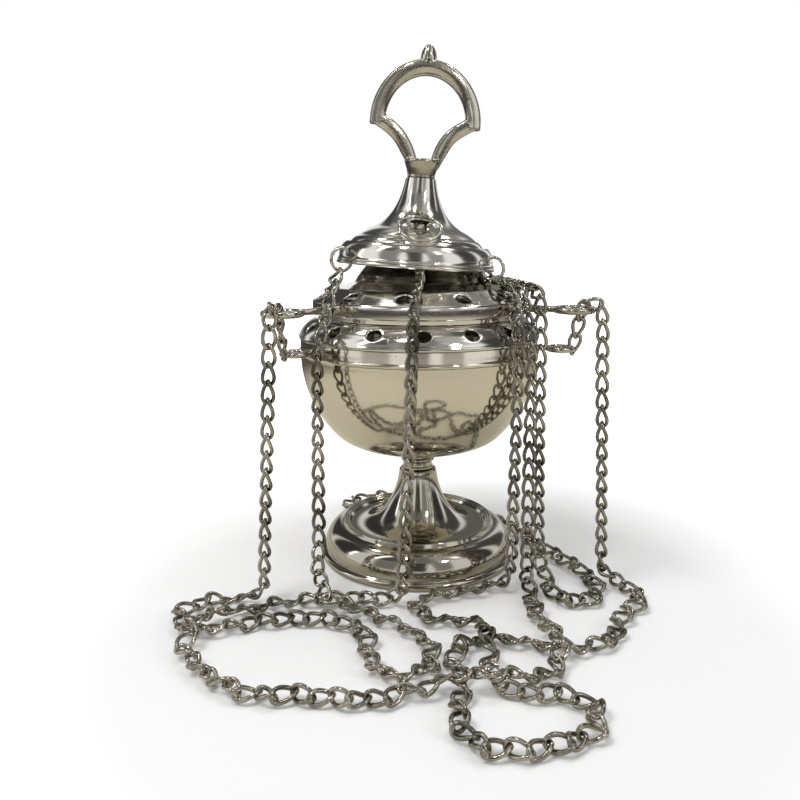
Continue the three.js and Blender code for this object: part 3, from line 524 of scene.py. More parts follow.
def link_form():
    """Rings of points round the wire of one link that stands along Z."""
    half = (LINK_PITCH + 2 * LINK_WIRE) / 2
    side = LINK_WIDTH / 2 - LINK_WIRE
    line = []
    for i in range(LINK_STEPS):
        a = 2 * math.pi * (i + 0.5) / LINK_STEPS
        x = side * math.copysign(abs(math.cos(a)) ** 0.8, math.cos(a))
        z = half * math.copysign(abs(math.sin(a)) ** 0.9, math.sin(a))
        turn = Matrix.Rotation(math.radians(LINK_TWIST * z / half), 3, "Z")
        line.append(turn @ Vector((x, 0, z)))
    rings = []
    for i, at in enumerate(line):
        along = (line[(i + 1) % LINK_STEPS] - line[i - 1]).normalized()
        out = at - along * at.dot(along)
        out.normalize()
        over = along.cross(out)
        for k in range(LINK_SIDES):
            a = 2 * math.pi * k / LINK_SIDES
            rings.append(at + (out * math.cos(a) + over * math.sin(a)) * LINK_WIRE)
    return np.array(rings)


LINK_FORM = link_form()
LINK_FACES = np.array(band_faces(LINK_STEPS, LINK_SIDES, closed=True))[:, [0, 3, 2, 1]]


def settled(point):
    """Where the chain itself runs, which lies flatter than the round solid that stands for it."""
    x, y, z = point
    if z <= CROSSING:
        return (x, y, LIE + (z - LAY) * SETTLING)
    if z >= RISE:
        return (x, y, z)
    low = LIE + (CROSSING - LAY) * SETTLING
    return (x, y, low + (RISE - low) * (z - CROSSING) / (RISE - CROSSING))


class Strand:
    """One whole chain: its line, the hinges between its links, and the way their widths point."""

    def __init__(self, runs, first, last, facing):
        """runs is [(kind, points)], kind hang, floor or top; first and last are the end links'
        widths, and facing the azimuth of the width where a run hangs free."""
        self.facing = facing
        self.line, kinds = [], []
        for kind, points in runs:
            some = smooth_line(points)
            self.line += some
            kinds += [kind] * len(some)
        gone = [0.0]
        for a, b, kind in zip(self.line, self.line[1:], kinds):
            gone.append(gone[-1] + (b - a).length * (SLACK if kind == "floor" else 1))
        count = round(gone[-1] / LINK_PITCH)
        at = np.linspace(0, gone[-1], count + 1)
        table = np.array(self.line)
        self.hinges = [
            Vector([float(np.interp(s, gone, table[:, k])) for k in range(3)]) for s in at
        ]
        middles = (at[:-1] + at[1:]) / 2
        self.kinds = [kinds[min(int(np.searchsorted(gone, s)), len(kinds) - 1)] for s in middles]
        for i in range(2, count - 1):
            along = self.hinges[i + 1] - self.hinges[i - 1]
            if set(self.kinds[i - 2 : i + 2]) == {"floor"} and abs(along.z) < 0.5 * along.length:
                side = along.cross(Vector((0, 0, 1))).normalized()
                self.hinges[i] += side * ((-1) ** i * (ZIGZAG + 0.5 * math.sin(i * 0.8)))
                self.hinges[i].z += 0.5 * math.sin(i * 1.9)
        self.widths = self.turned_widths(first, last)

    def turned_widths(self, first, last):
        count = len(self.hinges) - 1
        ways = [(b - a).normalized() for a, b in zip(self.hinges, self.hinges[1:])]
        carried = [ways[0].orthogonal().normalized()]
        for before, after in zip(ways, ways[1:]):
            carried.append(before.rotation_difference(after) @ carried[-1])
        wanted = {0: first, count - 1: last}
        for i, kind in enumerate(self.kinds):
            if kind == "floor" and abs(ways[i].z) < 0.5:
                roll = math.radians(SWAY * math.sin(i * 2.4) + ROLL * math.sin(i * 0.37 + 1))
                flat = ways[i].cross(Vector((0, 0, 1))).normalized()
                wanted[i] = Matrix.Rotation(roll, 3, ways[i]) @ flat
            elif kind in self.facing and abs(ways[i].z) > FALL and i >= HOOKED_LINKS:
                wanted[i] = polar(1, self.facing[kind] + SWAY * math.sin(i * 0.33))
        angles, known = {}, None  # turn of each link's width from the carried one, near the last
        for i in sorted(wanted):
            across = Vector(wanted[i])
            across = (across - ways[i] * across.dot(ways[i])).normalized()
            side = ways[i].cross(carried[i])
            angle = math.atan2(across.dot(side), across.dot(carried[i]))
            if known is not None:
                angle += math.pi * round((known - angle) / math.pi)
            angles[i] = known = angle
        every = np.interp(range(count), sorted(angles), [angles[i] for i in sorted(angles)])
        return [Matrix.Rotation(float(a), 3, w) @ c for a, w, c in zip(every, ways, carried)]

    def links(self, start, end):
        """Points and faces of the links from start up to end."""
        points, faces = [], []
        size = len(LINK_FORM)
        for i in range(start, end):
            a, b = self.hinges[i], self.hinges[i + 1]
            along = (b - a).normalized()
            across = self.widths[i]
            over = along.cross(across)
            stretch = ((b - a).length + 2 * LINK_WIRE) / (LINK_PITCH + 2 * LINK_WIRE)
            basis = np.array([across, over, along * stretch])
            points.append(LINK_FORM @ basis + np.array((a + b) / 2))
            faces.append(LINK_FACES + size * (i - start))
        return np.concatenate(points), np.concatenate(faces)

    def piece(self, name, start, end, lay, body, other=None, node=None):
        """The links from start up to end as one piece that rides on body, or on no body where other
        is given.
        """
        points, faces = self.links(start, end)
        part = points, faces.tolist()
        made = add_piece(name, part, STANDING, CHAIN_WIRE, None if other else body, node, 60)
        if other:
            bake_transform(made)


# How the outer chains are hooked up: under the bowl's loop, up through the lid's loop, over its
# wire in this azimuth and down to this foot on the ground
HANGS = {"left": (246, (-69.3, -43.2)), "right": (328, (71.6, -45.9)), "back": (30, (9.8, 73.8))}
# The way the links' width points where they hang: the lower end of each then faces the front
FACING = {
    "left": {"hang": -42, "top": -46},
    "right": {"hang": -69, "top": -62},
    "back": {"hang": 40, "top": -64},
    "lid": {"hang": -53, "top": -63},
}
HANG_FOOT = 14.6
AROUND_WIRE = 4.2  # from the middle of the lid's loop wire to the hinges of the chain over it
# The way the last link's width points in the cap's rings
OUT_OF_RING = {"left": (0.78, -0.6, 0.08), "right": (0.93, 0.37, 0), "back": (0, 1, 0)}
BOWL_LOOP = {"reach": 63.0, "radius": 5.1, "wire": 1.25, "arm": 3.6}
LID_LOOP = {"reach": 68.0, "radius": 7.2, "wire": 1.5, "arm": 4.2}
LID_LOOP_HEIGHT = (top_of("lid_loop_left") + bottom_of("lid_loop_left")) / 2
BOWL_LOOP_HEIGHT = (top_of("bowl_loop_left") + bottom_of("bowl_loop_left")) / 2


def hang_line(side):
    over, foot = HANGS[side]
    angle = SIDES[side]
    hook = polar(BOWL_LOOP["reach"] + BOWL_LOOP["radius"], angle, BOWL_LOOP_HEIGHT)
    hook.z -= BOWL_LOOP["wire"]
    ring = polar(LID_LOOP["reach"], angle, LID_LOOP_HEIGHT)
    out = polar(1, over)
    wire = ring + out * LID_LOOP["radius"]
    inside = wire - out * AROUND_WIRE
    turn = []
    for i in range(7):
        a = math.radians(180 - 30 * i)
        turn.append(wire + (out * math.cos(a) + Vector((0, 0, math.sin(a)))) * AROUND_WIRE)
    low = Vector((*foot, HANG_FOOT))
    fall = [turn[-1].lerp(low, i / 5) for i in range(1, 6)]
    return [hook, hook.lerp(inside, 0.35), hook.lerp(inside, 0.7), *turn, *fall]


FLOOR_ROUTES = {
    "left": [
        (-69.3, -43.2, 13.3), (-70.2, -43.6, 8), (-75, -45.2, 4), (-83, -45.6, 3),
        (-91, -45.6, 3), (-98.6, -49, 3), (-101.6, -57, 3), (-98.2, -65.2, 3), (-90, -68.6, 3),
        (-80, -66.6, 3), (-70, -64.6, 3), (-58, -64.4, 3), (-47, -66, 3), (-37.6, -71, 3),
        (-32.2, -79.6, 3), (-31.6, -89, 3), (-32, -97, 3), (-28.6, -105, 3), (-20.6, -108.4, 3),
        (-12.8, -105, 3), (-9.6, -97, 3), (-10.6, -87.6, 3), (-15.2, -79, 3), (-21.6, -71.4, 3),
        (-29, -64.6, 3.4), (-37.6, -58.8, 5.4), (-44.6, -53.4, 8.6), (-48, -46.6, 11.6),
        (-47.6, -40, 16), (-47.1, -37.1, 22),
    ],
    "lid": [
        (-14.6, -55.4, 13.3), (-15.6, -55.6, 8), (-20.4, -54.8, 4), (-28, -52.6, 3),
        (-38, -50.6, 3), (-49, -49.6, 3), (-61, -50.6, 3), (-73, -54, 3), (-82, -56.4, 4.4),
        (-89.6, -61, 8), (-94.4, -68.4, 10.2), (-96, -78, 6.2), (-93.4, -88, 3.2),
        (-87, -97.4, 3), (-79, -106.4, 3), (-69, -112.4, 3), (-57.6, -113.6, 3), (-47, -116.6, 3),
        (-37, -119.4, 3), (-27, -118.6, 3), (-17.4, -116, 3.6), (-10, -116, 7.2),
        (-3.4, -116.4, 10), (4, -117, 10.4), (11.4, -117.4, 10), (20, -116.6, 6.2),
        (28, -112.4, 3.4), (33.4, -105, 5.6), (35, -97, 10.9), (35, -88, 8), (34.8, -79, 3.6),
        (35.4, -70, 3), (36.8, -61, 3), (38.4, -52.6, 4.6), (39.4, -46, 10.4), (39.8, -43.6, 18),
    ],
    "right": [
        (71.6, -45.9, 13.3), (72.4, -46.6, 8), (76.4, -50.4, 3.8), (80.6, -58, 3),
        (79.6, -67.4, 3), (72.6, -74.6, 3), (65.4, -81, 3), (60.6, -89.4, 3), (53, -96.6, 3),
        (42.6, -98.4, 3), (31, -95, 3), (20, -90.6, 3), (9.6, -88, 3), (1.4, -91, 3),
        (-2.8, -98.6, 3), (-3.2, -108, 3), (-3.8, -118, 3), (-7.4, -128, 3), (-8.4, -137, 3),
        (-5, -145.4, 3), (3.4, -148.8, 3), (14, -148.4, 3), (25, -146.4, 3), (33, -140.6, 3),
        (34.6, -131.4, 3), (28.4, -124.8, 3), (19, -123.6, 3), (11, -119.8, 3), (8.2, -111, 3),
        (9.4, -101.4, 4.6), (10.8, -90, 10.2), (11.4, -82.4, 8), (8, -76.2, 3.8), (0.4, -73.4, 3),
        (-7.4, -70.6, 3), (-10.6, -62.8, 3), (-7.6, -55.2, 3), (0.6, -52.4, 3), (11, -51, 3),
        (21, -48.6, 3.4), (28.6, -46.6, 6.2), (31.8, -45.8, 11), (32.4, -45.7, 17),
    ],
    "back": [
        (9.8, 73.8, 13.3), (9.2, 73.8, 8), (4.6, 73, 4), (-2.6, 71, 3), (-10.4, 69, 3),
        (-18, 67.2, 3), (-26, 63.8, 3), (-29.2, 56, 3), (-25.8, 48.6, 3), (-18, 46.6, 3),
        (-8, 50.4, 3), (3, 51.2, 3), (14, 49.4, 3), (25, 45, 3), (35, 38, 3), (43.6, 29, 3),
        (49.8, 17, 3), (53.4, 4, 3), (56, -9, 3), (60.4, -21, 3), (65, -33, 3), (67, -45, 3),
        (66.4, -56, 3), (60.6, -64.6, 3), (53, -66, 3), (47.6, -59, 3), (46.6, -50, 4),
        (46.6, -42.6, 9), (46.5, -38.4, 16.8),
    ],
}

# From the ground up to the cap's rings, or up inside the cap
TOP_ROUTES = {
    "left": [
        (-47, -37, 23.8), (-46.6, -36.2, 60), (-46, -35.4, 94), (-45.2, -34.7, 104),
        (-42, -31.8, 114.6), (-40.2, -27.4, 122.4), (-38.1, -20.2, 126.8), (-35.9, -15.3, 131.4),
    ],
    "right": [
        (32.4, -45.7, 18.2), (32.4, -46.4, 56), (32.4, -47, 94), (32.4, -46.8, 104),
        (32.4, -42, 113.2), (32.8, -36, 120.9), (31.1, -28.7, 124.7), (28.9, -22.2, 128),
    ],
    "back": [
        (46.5, -37.8, 18), (45.7, -36.8, 55), (44.9, -35.7, 92), (44.8, -35.6, 103.4),
        (44.8, -34, 112.4), (45.3, -31, 120.1), (45, -26, 123.3), (44, -19, 123.6),
        (42.6, -9.6, 124.2), (40.4, 1, 125), (37.4, 12, 125.4), (32.4, 22.6, 125.8),
        (24.6, 31, 126), (15.6, 36, 126.3), (9.2, 37.8, 128), (3, 37.2, 129.6),
    ],
    "lid": [
        (39.9, -43.2, 19), (39.6, -42.4, 55), (39.3, -41.6, 92), (39.3, -41.6, 103.4),
        (38.6, -36.8, 112.6), (39, -30.8, 120.6), (37.4, -24, 124), (34.4, -18.4, 125.6),
        (28, -15.8, 126.6), (25.6, -14.4, 128.4), (24.6, -13.6, 131.2), (22.4, -12.4, 134.6),
        (18.4, -11.4, 138.6), (13.8, -10.6, 142.2), (9.4, -9.8, 145.4), (5.4, -8.8, 148.4),
        (0.6, -10.2, 151.2), (-1.6, -14.4, 152.8), (-1.7, -19.7, 153.7),
    ],
}
DROP_ROUTE = [
    (0, 0.5, 148.2), (-0.8, -7.2, 146.2), (-1.6, -14, 143.6), (-2.6, -19.4, 140.6),
    (-3.5, -24.9, 136.8), (-4.2, -29.4, 131.6), (-5.2, -34.4, 127.2), (-6.8, -39.4, 125.2),
    (-8.6, -45.4, 122.6), (-10, -50.8, 116.2), (-11, -54, 108), (-11.4, -56.2, 101),
    (-11.8, -56.4, 92), (-13.1, -55.9, 52), (-14.4, -55.4, 14.6),
]
LIFT_RUN = 66.0  # length of ground chain that a lifted stretch picks up
SHIFT_RUN = 54.0  # and the length that the cap alone picks up


def make_strands():
    lift, shift = round(LIFT_RUN / LINK_PITCH), round(SHIFT_RUN / LINK_PITCH)
    for side in ("left", "right", "back", "lid"):
        if side == "lid":
            start, first, last = DROP_ROUTE, (0, 0, 1), (1, 0, 0)
            hang, floor, top = "lid_chain_drop", "lid_chain_floor", "lid_chain_return"
        else:
            start, first, last = hang_line(side), polar(1, SIDES[side] + 45), OUT_OF_RING[side]
            hang, floor, top = (f"chain_{side}_{run}" for run in ("hang", "floor", "top"))
        lying = [settled(p) for p in FLOOR_ROUTES[side]]
        runs = [("hang", start), ("floor", lying), ("top", TOP_ROUTES[side])]
        strand = Strand(runs, first, last, FACING[side])
        count = len(strand.kinds)
        on_floor = [i for i, kind in enumerate(strand.kinds) if kind == "floor"]
        low, high = on_floor[0], on_floor[-1] + 1
        ends = [0, low, low + lift, high - shift - lift, high - shift, high, count]
        parts = [
            ("hanging", "hanging", "lid", None, hang),
            ("picked_up", "loose", "lid", "base", None),
            ("on_ground", "loose", "base", None, floor),
            ("rising", "loose", "base", "lid", None),
            ("rising_on", "loose", "lid", "cap", None),
            ("upper", "hanging", "cap", None, top),
        ]
        for from_link, to_link, (word, lay, body, other, node) in zip(ends, ends[1:], parts):
            strand.piece(f"{side}_chain_{word}", from_link, to_link, lay, body, other, node)


make_strands()

# Foot, collar and bowl

FOOT_RADIUS = 45.0
FLANGE = 3.4
FLANGE_WIDTH = 3.6
BULGE_RADIUS = 43.0
BULGE_HEIGHT = 15.4
RIDGE_RADIUS = 33.6
RIDGE_HEIGHT = 17.3
STEM_RADIUS = 8.5
STEM_PLATE = 2.0
BOLT_HOLE = 2.3
STEM_TOP = top_of("foot")
BOWL_RADIUS = 52.3
BOWL_FLAT = 9.0
BOWL_TURN = 8.2  # height above the flat bottom where the round side begins
BAND = 4.6
BEAD = 0.9
BEAD_HEIGHT = 2.0
BOWL_RIM = top_of("bowl")
BOWL_BOTTOM = bottom_of("bowl")
BAND_BOTTOM = BOWL_RIM - BAND


def foot_outline():
    bulge_centre = (RIDGE_RADIUS + 0.4, FLANGE + 2.4)
    bulge_radii = (BULGE_RADIUS - bulge_centre[0], BULGE_HEIGHT - bulge_centre[1])
    dish = (RIDGE_RADIUS - 2.6, RIDGE_HEIGHT - 2.4)
    bulge = arc(bulge_centre, bulge_radii, -12, 84, 20)
    stem = [dish, *bend([dish, (20, 12.6), (10.2, 24), (STEM_RADIUS, STEM_TOP - 0.6)], 30)]
    ridges = []
    for i, radius in enumerate((RIDGE_RADIUS + 0.5, RIDGE_RADIUS - 0.5, RIDGE_RADIUS - 1.5)):
        ridges += arc((radius, RIDGE_HEIGHT - 0.5 - 0.5 * i), (0.5, 0.5), 20, 160, 5)
    lining = beside([*bulge, *stem], WALL)[:-1]
    rolled = arc((FOOT_RADIUS - 1.7, FLANGE / 2), (1.7, FLANGE / 2), -80, 80, 10)
    return [
        (FOOT_RADIUS - FLANGE_WIDTH, 0), (FOOT_RADIUS - 1.7, 0), *rolled, *bulge, *ridges, *stem,
        (STEM_RADIUS - 0.5, STEM_TOP), (BOLT_HOLE, STEM_TOP), (BOLT_HOLE, STEM_TOP - STEM_PLATE),
        (STEM_RADIUS - WALL - 0.4, STEM_TOP - STEM_PLATE), *reversed(lining),
    ]


def collar_outline():
    low, high = bottom_of("collar"), top_of("collar")
    bead = arc((6.4, (low + high) / 2), (1.2, 1.0), -90, 90, 8)
    return [
        (BOLT_HOLE, low), (7.0, low), (7.0, low + 0.9), (6.4, low + 1.4), *bead,
        (6.4, high - 1.4), (7.0, high - 0.9), (7.0, high), (BOLT_HOLE, high),
    ]


def bowl_side():
    centre = BAND_BOTTOM - BEAD_HEIGHT
    turn = math.degrees(math.asin((BOWL_BOTTOM + BOWL_TURN - centre) / BOWL_RADIUS))
    side = arc((0, centre), (BOWL_RADIUS, BOWL_RADIUS), turn, 0, 30)
    start = (BOWL_FLAT, BOWL_BOTTOM)
    knee = (side[0][0] - 7.4, BOWL_BOTTOM + 1.6)
    return [start, *bend([start, knee, side[0]], 24), *side[1:]]


def bowl_outline():
    side = bowl_side()
    bead = arc((BOWL_RADIUS, BAND_BOTTOM - BEAD_HEIGHT / 2), (BEAD, BEAD_HEIGHT / 2), -90, 90, 10)
    return [
        (BOLT_HOLE, BOWL_BOTTOM), *side, *bead[1:], (BOWL_RADIUS, BOWL_RIM),
        (BOWL_RADIUS - WALL, BOWL_RIM), *reversed(beside(side, WALL)),
        (BOLT_HOLE, BOWL_BOTTOM + WALL),
    ]


def pan_outline():
    rim, floor, radius = top_of("charcoal_pan") - 1.2, bottom_of("charcoal_pan"), 42.0
    side = [(27, floor), *bend([(27, floor), (radius - 4, floor + 1), (radius - 0.6, rim)], 12)]
    edge = [(radius, rim + 0.6), (radius - 0.6, rim + 1.2)]
    return [(0, floor), *side, *edge, *reversed(beside(side, 0.8)), (0, floor + 0.8)]


def make_base():
    for name, outline, segments, material, body, node, slot in (
        ("foot_shell", foot_outline(), 200, FOOT_PLATE, "base", "foot", "plate"),
        ("foot_collar", collar_outline(), 96, FOOT_PLATE, "base", "collar", "plate"),
        ("bowl_shell", bowl_outline(), 240, BOWL_PLATE, "base", "bowl", "plate"),
        ("pan", pan_outline(), 120, PAN_PLATE, "pan", "charcoal_pan", "steel"),
    ):
        part = turned(softened(outline), segments)
        add_piece(name, part, STANDING, material, body, node)


make_base()

# Lid


def pierced(line, count, radius, turn, columns, rows, wall=WALL):
    """The part of a turned sheet between the ends of its outer line, with round holes: outer face,
    inner face and the rim of each hole. columns and rows divide the sides of one hole's cell."""
    table = np.array([(*p, *q) for p, q in zip(line, beside(line, wall))])
    gone = [0.0]
    for a, b in zip(line, line[1:]):
        gone.append(gone[-1] + math.dist(a, b))
    total = gone[-1]
    around = sum(p[0] for p in line) / len(line)

    def at(across, along, depth):
        r, z, inner_r, inner_z = (float(np.interp(along, gone, table[:, k])) for k in range(4))
        r, z = r + (inner_r - r) * depth, z + (inner_z - z) * depth
        return polar(r, turn + math.degrees(across / around), z)

    cell = 2 * math.pi * around / count
    edge = [(-cell / 2 + cell * i / columns, 0.0) for i in range(columns)]
    edge += [(cell / 2, total * i / rows) for i in range(rows)]
    edge += [(cell / 2 - cell * i / columns, total) for i in range(columns)]
    edge += [(-cell / 2, total * (rows - i) / rows) for i in range(rows)]
    lip = 0.28
    # Share of the way from the cell's edge to the hole, radius of the hole there, depth
    rings = [(t, radius + lip, 0.0) for t in (0.0, 0.2, 0.4, 0.58, 0.74, 0.88, 1.0)]
    rings += [(1.0, radius + lip * 0.3, lip * 0.3 / wall), (1.0, radius, lip / wall)]
    rings += [(t, radius, 1.0) for t in (1.0, 0.7, 0.35, 0.0)]
    points, faces = [], []
    for hole in range(count):
        start = len(points)
        for share, hole_radius, depth in rings:
            for across, along in edge:
                a = math.atan2(along - total / 2, across)
                x = across + (hole_radius * math.cos(a) - across) * share
                y = along + (total / 2 + hole_radius * math.sin(a) - along) * share
                points.append(at(cell * hole + x, y, depth))
        faces += band_faces(len(rings), len(edge), start=start)
    return points, faces


def sheet_with_holes(before, line, after, holes, radius, turn, columns, rows):
    """A closed turned outline whose stretch along line is pierced."""
    outline = softened([*before, line[0]], closed=False)
    inner = beside(line, WALL)
    segments = holes * columns
    points, faces = turned([*outline, line[-1], *after, inner[-1], inner[0]], segments)
    open_rows = (len(outline) - 1, len(outline) + 1 + len(after))
    faces = [face for i, face in enumerate(faces) if i // segments not in open_rows]
    spun = moved((points, faces), turn_by(turn - 180 / holes, "Z"))
    return joined(spun, pierced(line, holes, radius, turn, columns, rows))


def add_lid_shell(node, part):
    """Welds the holes' rims to the sheet round them."""
    name = f"{node}_shell"
    mesh = mesh_of(name, part)
    work = bmesh.new()
    work.from_mesh(mesh)
    bmesh.ops.remove_doubles(work, verts=work.verts, dist=0.01)
    loose = [v for v in work.verts if not v.link_faces]
    bmesh.ops.delete(work, geom=loose, context="VERTS")
    bmesh.ops.recalc_face_normals(work, faces=work.faces)
    work.to_mesh(mesh)
    work.free()
    mesh.transform(STANDING)
    finish_piece(name, mesh, LID_PLATE, "lid", node, 50)


SKIRT_BOTTOM = BOWL_RIM + GAP
SKIRT_TOP = top_of("lid_skirt")
SKIRT_LIP = 0.6
SKIRT_TOP_RADIUS = 45.2
REGISTER = BOWL_RADIUS - WALL - GAP
GROOVE_RADIUS = 43.9
GROOVE = 2.0
CROWN_RADIUS = 46.6
CROWN_BOTTOM = SKIRT_TOP + GAP
CROWN_BAND = CROWN_BOTTOM + GROOVE
CROWN_EDGE = CROWN_BAND + 5.0
SLOPE_RADIUS = 37.2
SLOPE_RISE = 5.4
DOME_RADIUS = 27.5
DOME_TOP = top_of("lid_crown")
STEM = 2.6  # of the finial


def make_skirt():
    edge = BOWL_RADIUS + SKIRT_LIP
    start, end = (edge - 0.3, SKIRT_BOTTOM + 1.4), (SKIRT_TOP_RADIUS, SKIRT_TOP)
    line = [start, *bend([start, (start[0] - 1.7, SKIRT_TOP - 2.9), end], 16)]
    inner = GROOVE_RADIUS - 2.4
    before = [
        (REGISTER - 1.2, SKIRT_BOTTOM - 4), (REGISTER, SKIRT_BOTTOM - 4), (REGISTER, SKIRT_BOTTOM),
        (edge, SKIRT_BOTTOM), (edge, SKIRT_BOTTOM + 0.8), (edge - 0.15, SKIRT_BOTTOM + 1.2),
    ]
    after = [(inner, SKIRT_TOP), (inner, SKIRT_TOP - WALL)]
    part = sheet_with_holes(before, line, after, 16, 3.0, 15.7, 16, 10)
    add_lid_shell("lid_skirt", part)


def make_crown():
    start = (CROWN_RADIUS - 0.5, CROWN_EDGE + 0.3)
    end = (SLOPE_RADIUS, CROWN_EDGE + SLOPE_RISE)
    line = [tuple(Vector(start).lerp(Vector(end), i / 8)) for i in range(9)]
    foot = (SLOPE_RADIUS - 1.2, end[1] + 0.3)
    waist = (DOME_RADIUS + 0.6, end[1] + 2.6)
    high, top = (DOME_RADIUS - 4, DOME_TOP - 4.4), (DOME_RADIUS - 11, DOME_TOP)
    dome = [foot, *bend([foot, (DOME_RADIUS + 4.6, foot[1] + 0.9), waist], 8)]
    dome += bend([waist, high, top, (STEM + 3, DOME_TOP)], 24)
    inner = GROOVE_RADIUS - 1.2
    before = [
        (inner, CROWN_BAND + WALL), (inner, CROWN_BOTTOM), (GROOVE_RADIUS, CROWN_BOTTOM),
        (GROOVE_RADIUS, CROWN_BAND - 0.3), (CROWN_RADIUS - 0.5, CROWN_BAND),
        (CROWN_RADIUS, CROWN_BAND + 0.5), (CROWN_RADIUS, CROWN_EDGE - 0.3),
    ]
    hole = [(STEM + GAP, DOME_TOP), (STEM + GAP, DOME_TOP - WALL)]
    after = [*dome, *hole, *reversed(beside(dome, WALL))]
    part = sheet_with_holes(before, line, after, 11, 3.15, 24.0, 24, 16)
    add_lid_shell("lid_crown", part)


def make_finial():
    base = DOME_TOP + GAP
    eye = base + 9.2
    low, top = bottom_of("lid_finial"), top_of("lid_finial")
    stalk = [
        (0, low), (STEM, low), (STEM, base), (6.0, base), (6.0, base + 1), (STEM, base + 2.6),
        (2.0, eye - 3.6), (0, eye - 3.4),
    ]
    tip = [(0, eye + 2.8), (1.6, eye + 3.2), (1.9, eye + 5), (1.5, top - 0.4), (0, top)]
    ring = moved(hoop(3.2, 1.2, 40), move_by(0, 0, eye) @ turn_by(90, "Y"))
    part = joined(turned(softened(stalk), 48), turned(tip, 32), ring)
    add_piece("lid_finial_eye", part, STANDING, CAST_PLATE, "lid", "lid_finial")


def make_loops():
    """The loops cast in one with their tapered arms, and a little solder at the band."""
    kinds = (
        ("bowl", BOWL_LOOP, BOWL_RADIUS, BOWL_LOOP_HEIGHT, "base"),
        ("lid", LID_LOOP, CROWN_RADIUS, LID_LOOP_HEIGHT, "lid"),
    )
    for kind, size, band, height, body in kinds:
        wire, radius, reach, wide = size["wire"], size["radius"], size["reach"], size["arm"] / 2
        ring = moved(hoop(radius, wire, 64, 14, 0.94), move_by(reach, 0, 0))
        root, tip, end = band + GAP, reach - radius - wire * 0.2, wire * 0.86
        length = tip - root
        arm = [(0, 0), (wide + 0.5, 0), (wide - 0.1, 0.8)]
        for t in (i / 8 for i in range(9)):
            arm.append((end + (wide - 0.3 - end) * (1 - t) ** 2, 1 + (length - 1) * t))
        bar = moved(turned([*arm, (0, length)], 28), move_by(root, 0, 0) @ turn_by(90, "Y"))
        part = joined(ring, bar)
        for side, angle in SIDES.items():
            place = STANDING @ move_by(0, 0, height) @ turn_by(angle, "Z")
            name = f"{kind}_loop_{side}"
            add_piece(f"{name}_casting", part, place, CAST_PLATE, body, name)


make_skirt()
make_crown()
make_finial()
make_loops()

# Cap

MOUTH_RADIUS = 34.5
CAP_BEAD = 3.0  # height of the rim's beads
BELL_HEIGHT = 37.0
NECK_RADIUS = 6.5
SHANK_HOLE = 2.8
BELL_PLATE = 1.5
RING_HOLE = {"inset": 1.6, "radius": 1.5, "height": 5.0, "swing": 45.0}
CHAIN_HOLE = {"width": 9.4, "tall": 6.6, "height": 20.0, "tilt": -28.0}
CAP_RING = {"radius": 4.7, "wire": 0.75}
PULL_RING = {"radius": 8.7, "wire": 0.55, "turns": 2, "reach": 24.2, "height": 14.5, "tilt": 36.0}


def bell_outline():
    m = MOUTH_RADIUS
    neck = bend([(m - 16.2, 16.6), (11.2, 20.6), (8, 28), (NECK_RADIUS, BELL_HEIGHT)], 30)
    lower = arc((m - 6.2, CAP_BEAD), (5.2, 7.4), 0, 62, 10)
    inside = [(m - 1, CAP_BEAD), (m - 5.2, 8.6), (m - 8.4, 12), (m - 16.2, 16.6), *neck]
    return [
        (m - 0.6, 0),
        *arc((m - 0.85, 0.75), (0.85, 0.75), -70, 60, 6),
        *arc((m - 1.0, 2.1), (0.7, 0.5), -60, 60, 6),
        (m - 1, CAP_BEAD), *lower[1:], (m - 5.6, 8.9),
        *bend([(m - 5.6, 8.9), (m - 6.2, 10.6), (m - 8.0, 11.9)], 5), (m - 8.9, 12.2),
        *bend([(m - 8.9, 12.2), (m - 11.6, 14.4), (m - 14.9, 15.9)], 6), (m - 16.0, 16.4), *neck,
        (SHANK_HOLE, BELL_HEIGHT), (SHANK_HOLE, BELL_HEIGHT - BELL_PLATE),
        (NECK_RADIUS - WALL, BELL_HEIGHT - BELL_PLATE), *reversed(beside(inside, WALL)[:-1]),
        (m - 0.6 - WALL, 0),
    ]


def temporary(name, part):
    return new_object(name, mesh_of(name, part))


def applied(thing):
    """The mesh that a temporary object's modifiers make; the object goes."""
    graph = bpy.context.evaluated_depsgraph_get()
    mesh = bpy.data.meshes.new_from_object(thing.evaluated_get(graph))
    bpy.data.objects.remove(thing)
    return mesh


def drilled(name, body, tools):
    whole = temporary(name, body)
    drill = temporary(name + "_drill", joined(*tools))
    cut = whole.modifiers.new("drill", "BOOLEAN")
    cut.object = drill
    cut.operation = "DIFFERENCE"
    cut.solver = "EXACT"
    cut.use_self = True
    mesh = applied(whole)
    bpy.data.objects.remove(drill)
    return mesh


def drill_of(radius, length, sides=40):
    half = length / 2
    return turned([(0, -half), (radius, -half), (radius, half), (0, half)], sides)


def make_bell():
    reach = move_by(MOUTH_RADIUS - RING_HOLE["inset"], 0, RING_HOLE["height"])
    flat = turn_by(-RING_HOLE["swing"], "Y") @ turn_by(90, "Z") @ turn_by(90, "X")
    drill = drill_of(RING_HOLE["radius"], 6)
    tools = [moved(drill, turn_by(angle, "Z") @ reach @ flat) for angle in SIDES.values()]
    wide = Matrix.Diagonal((CHAIN_HOLE["width"], 1, CHAIN_HOLE["tall"], 1))
    oval = move_by(0, -14, CHAIN_HOLE["height"]) @ turn_by(CHAIN_HOLE["tilt"], "X") @ wide
    tools.append(moved(drill_of(0.5, 12, 64), oval @ turn_by(90, "X")))
    mesh = drilled("cap_bell_shell", turned(bell_outline(), 200), tools)
    mesh.transform(CAPPED @ move_by(0, 0, -BELL_DROP))
    finish_piece("cap_bell_shell", mesh, CAP_PLATE, "cap", "cap_bell", 40)


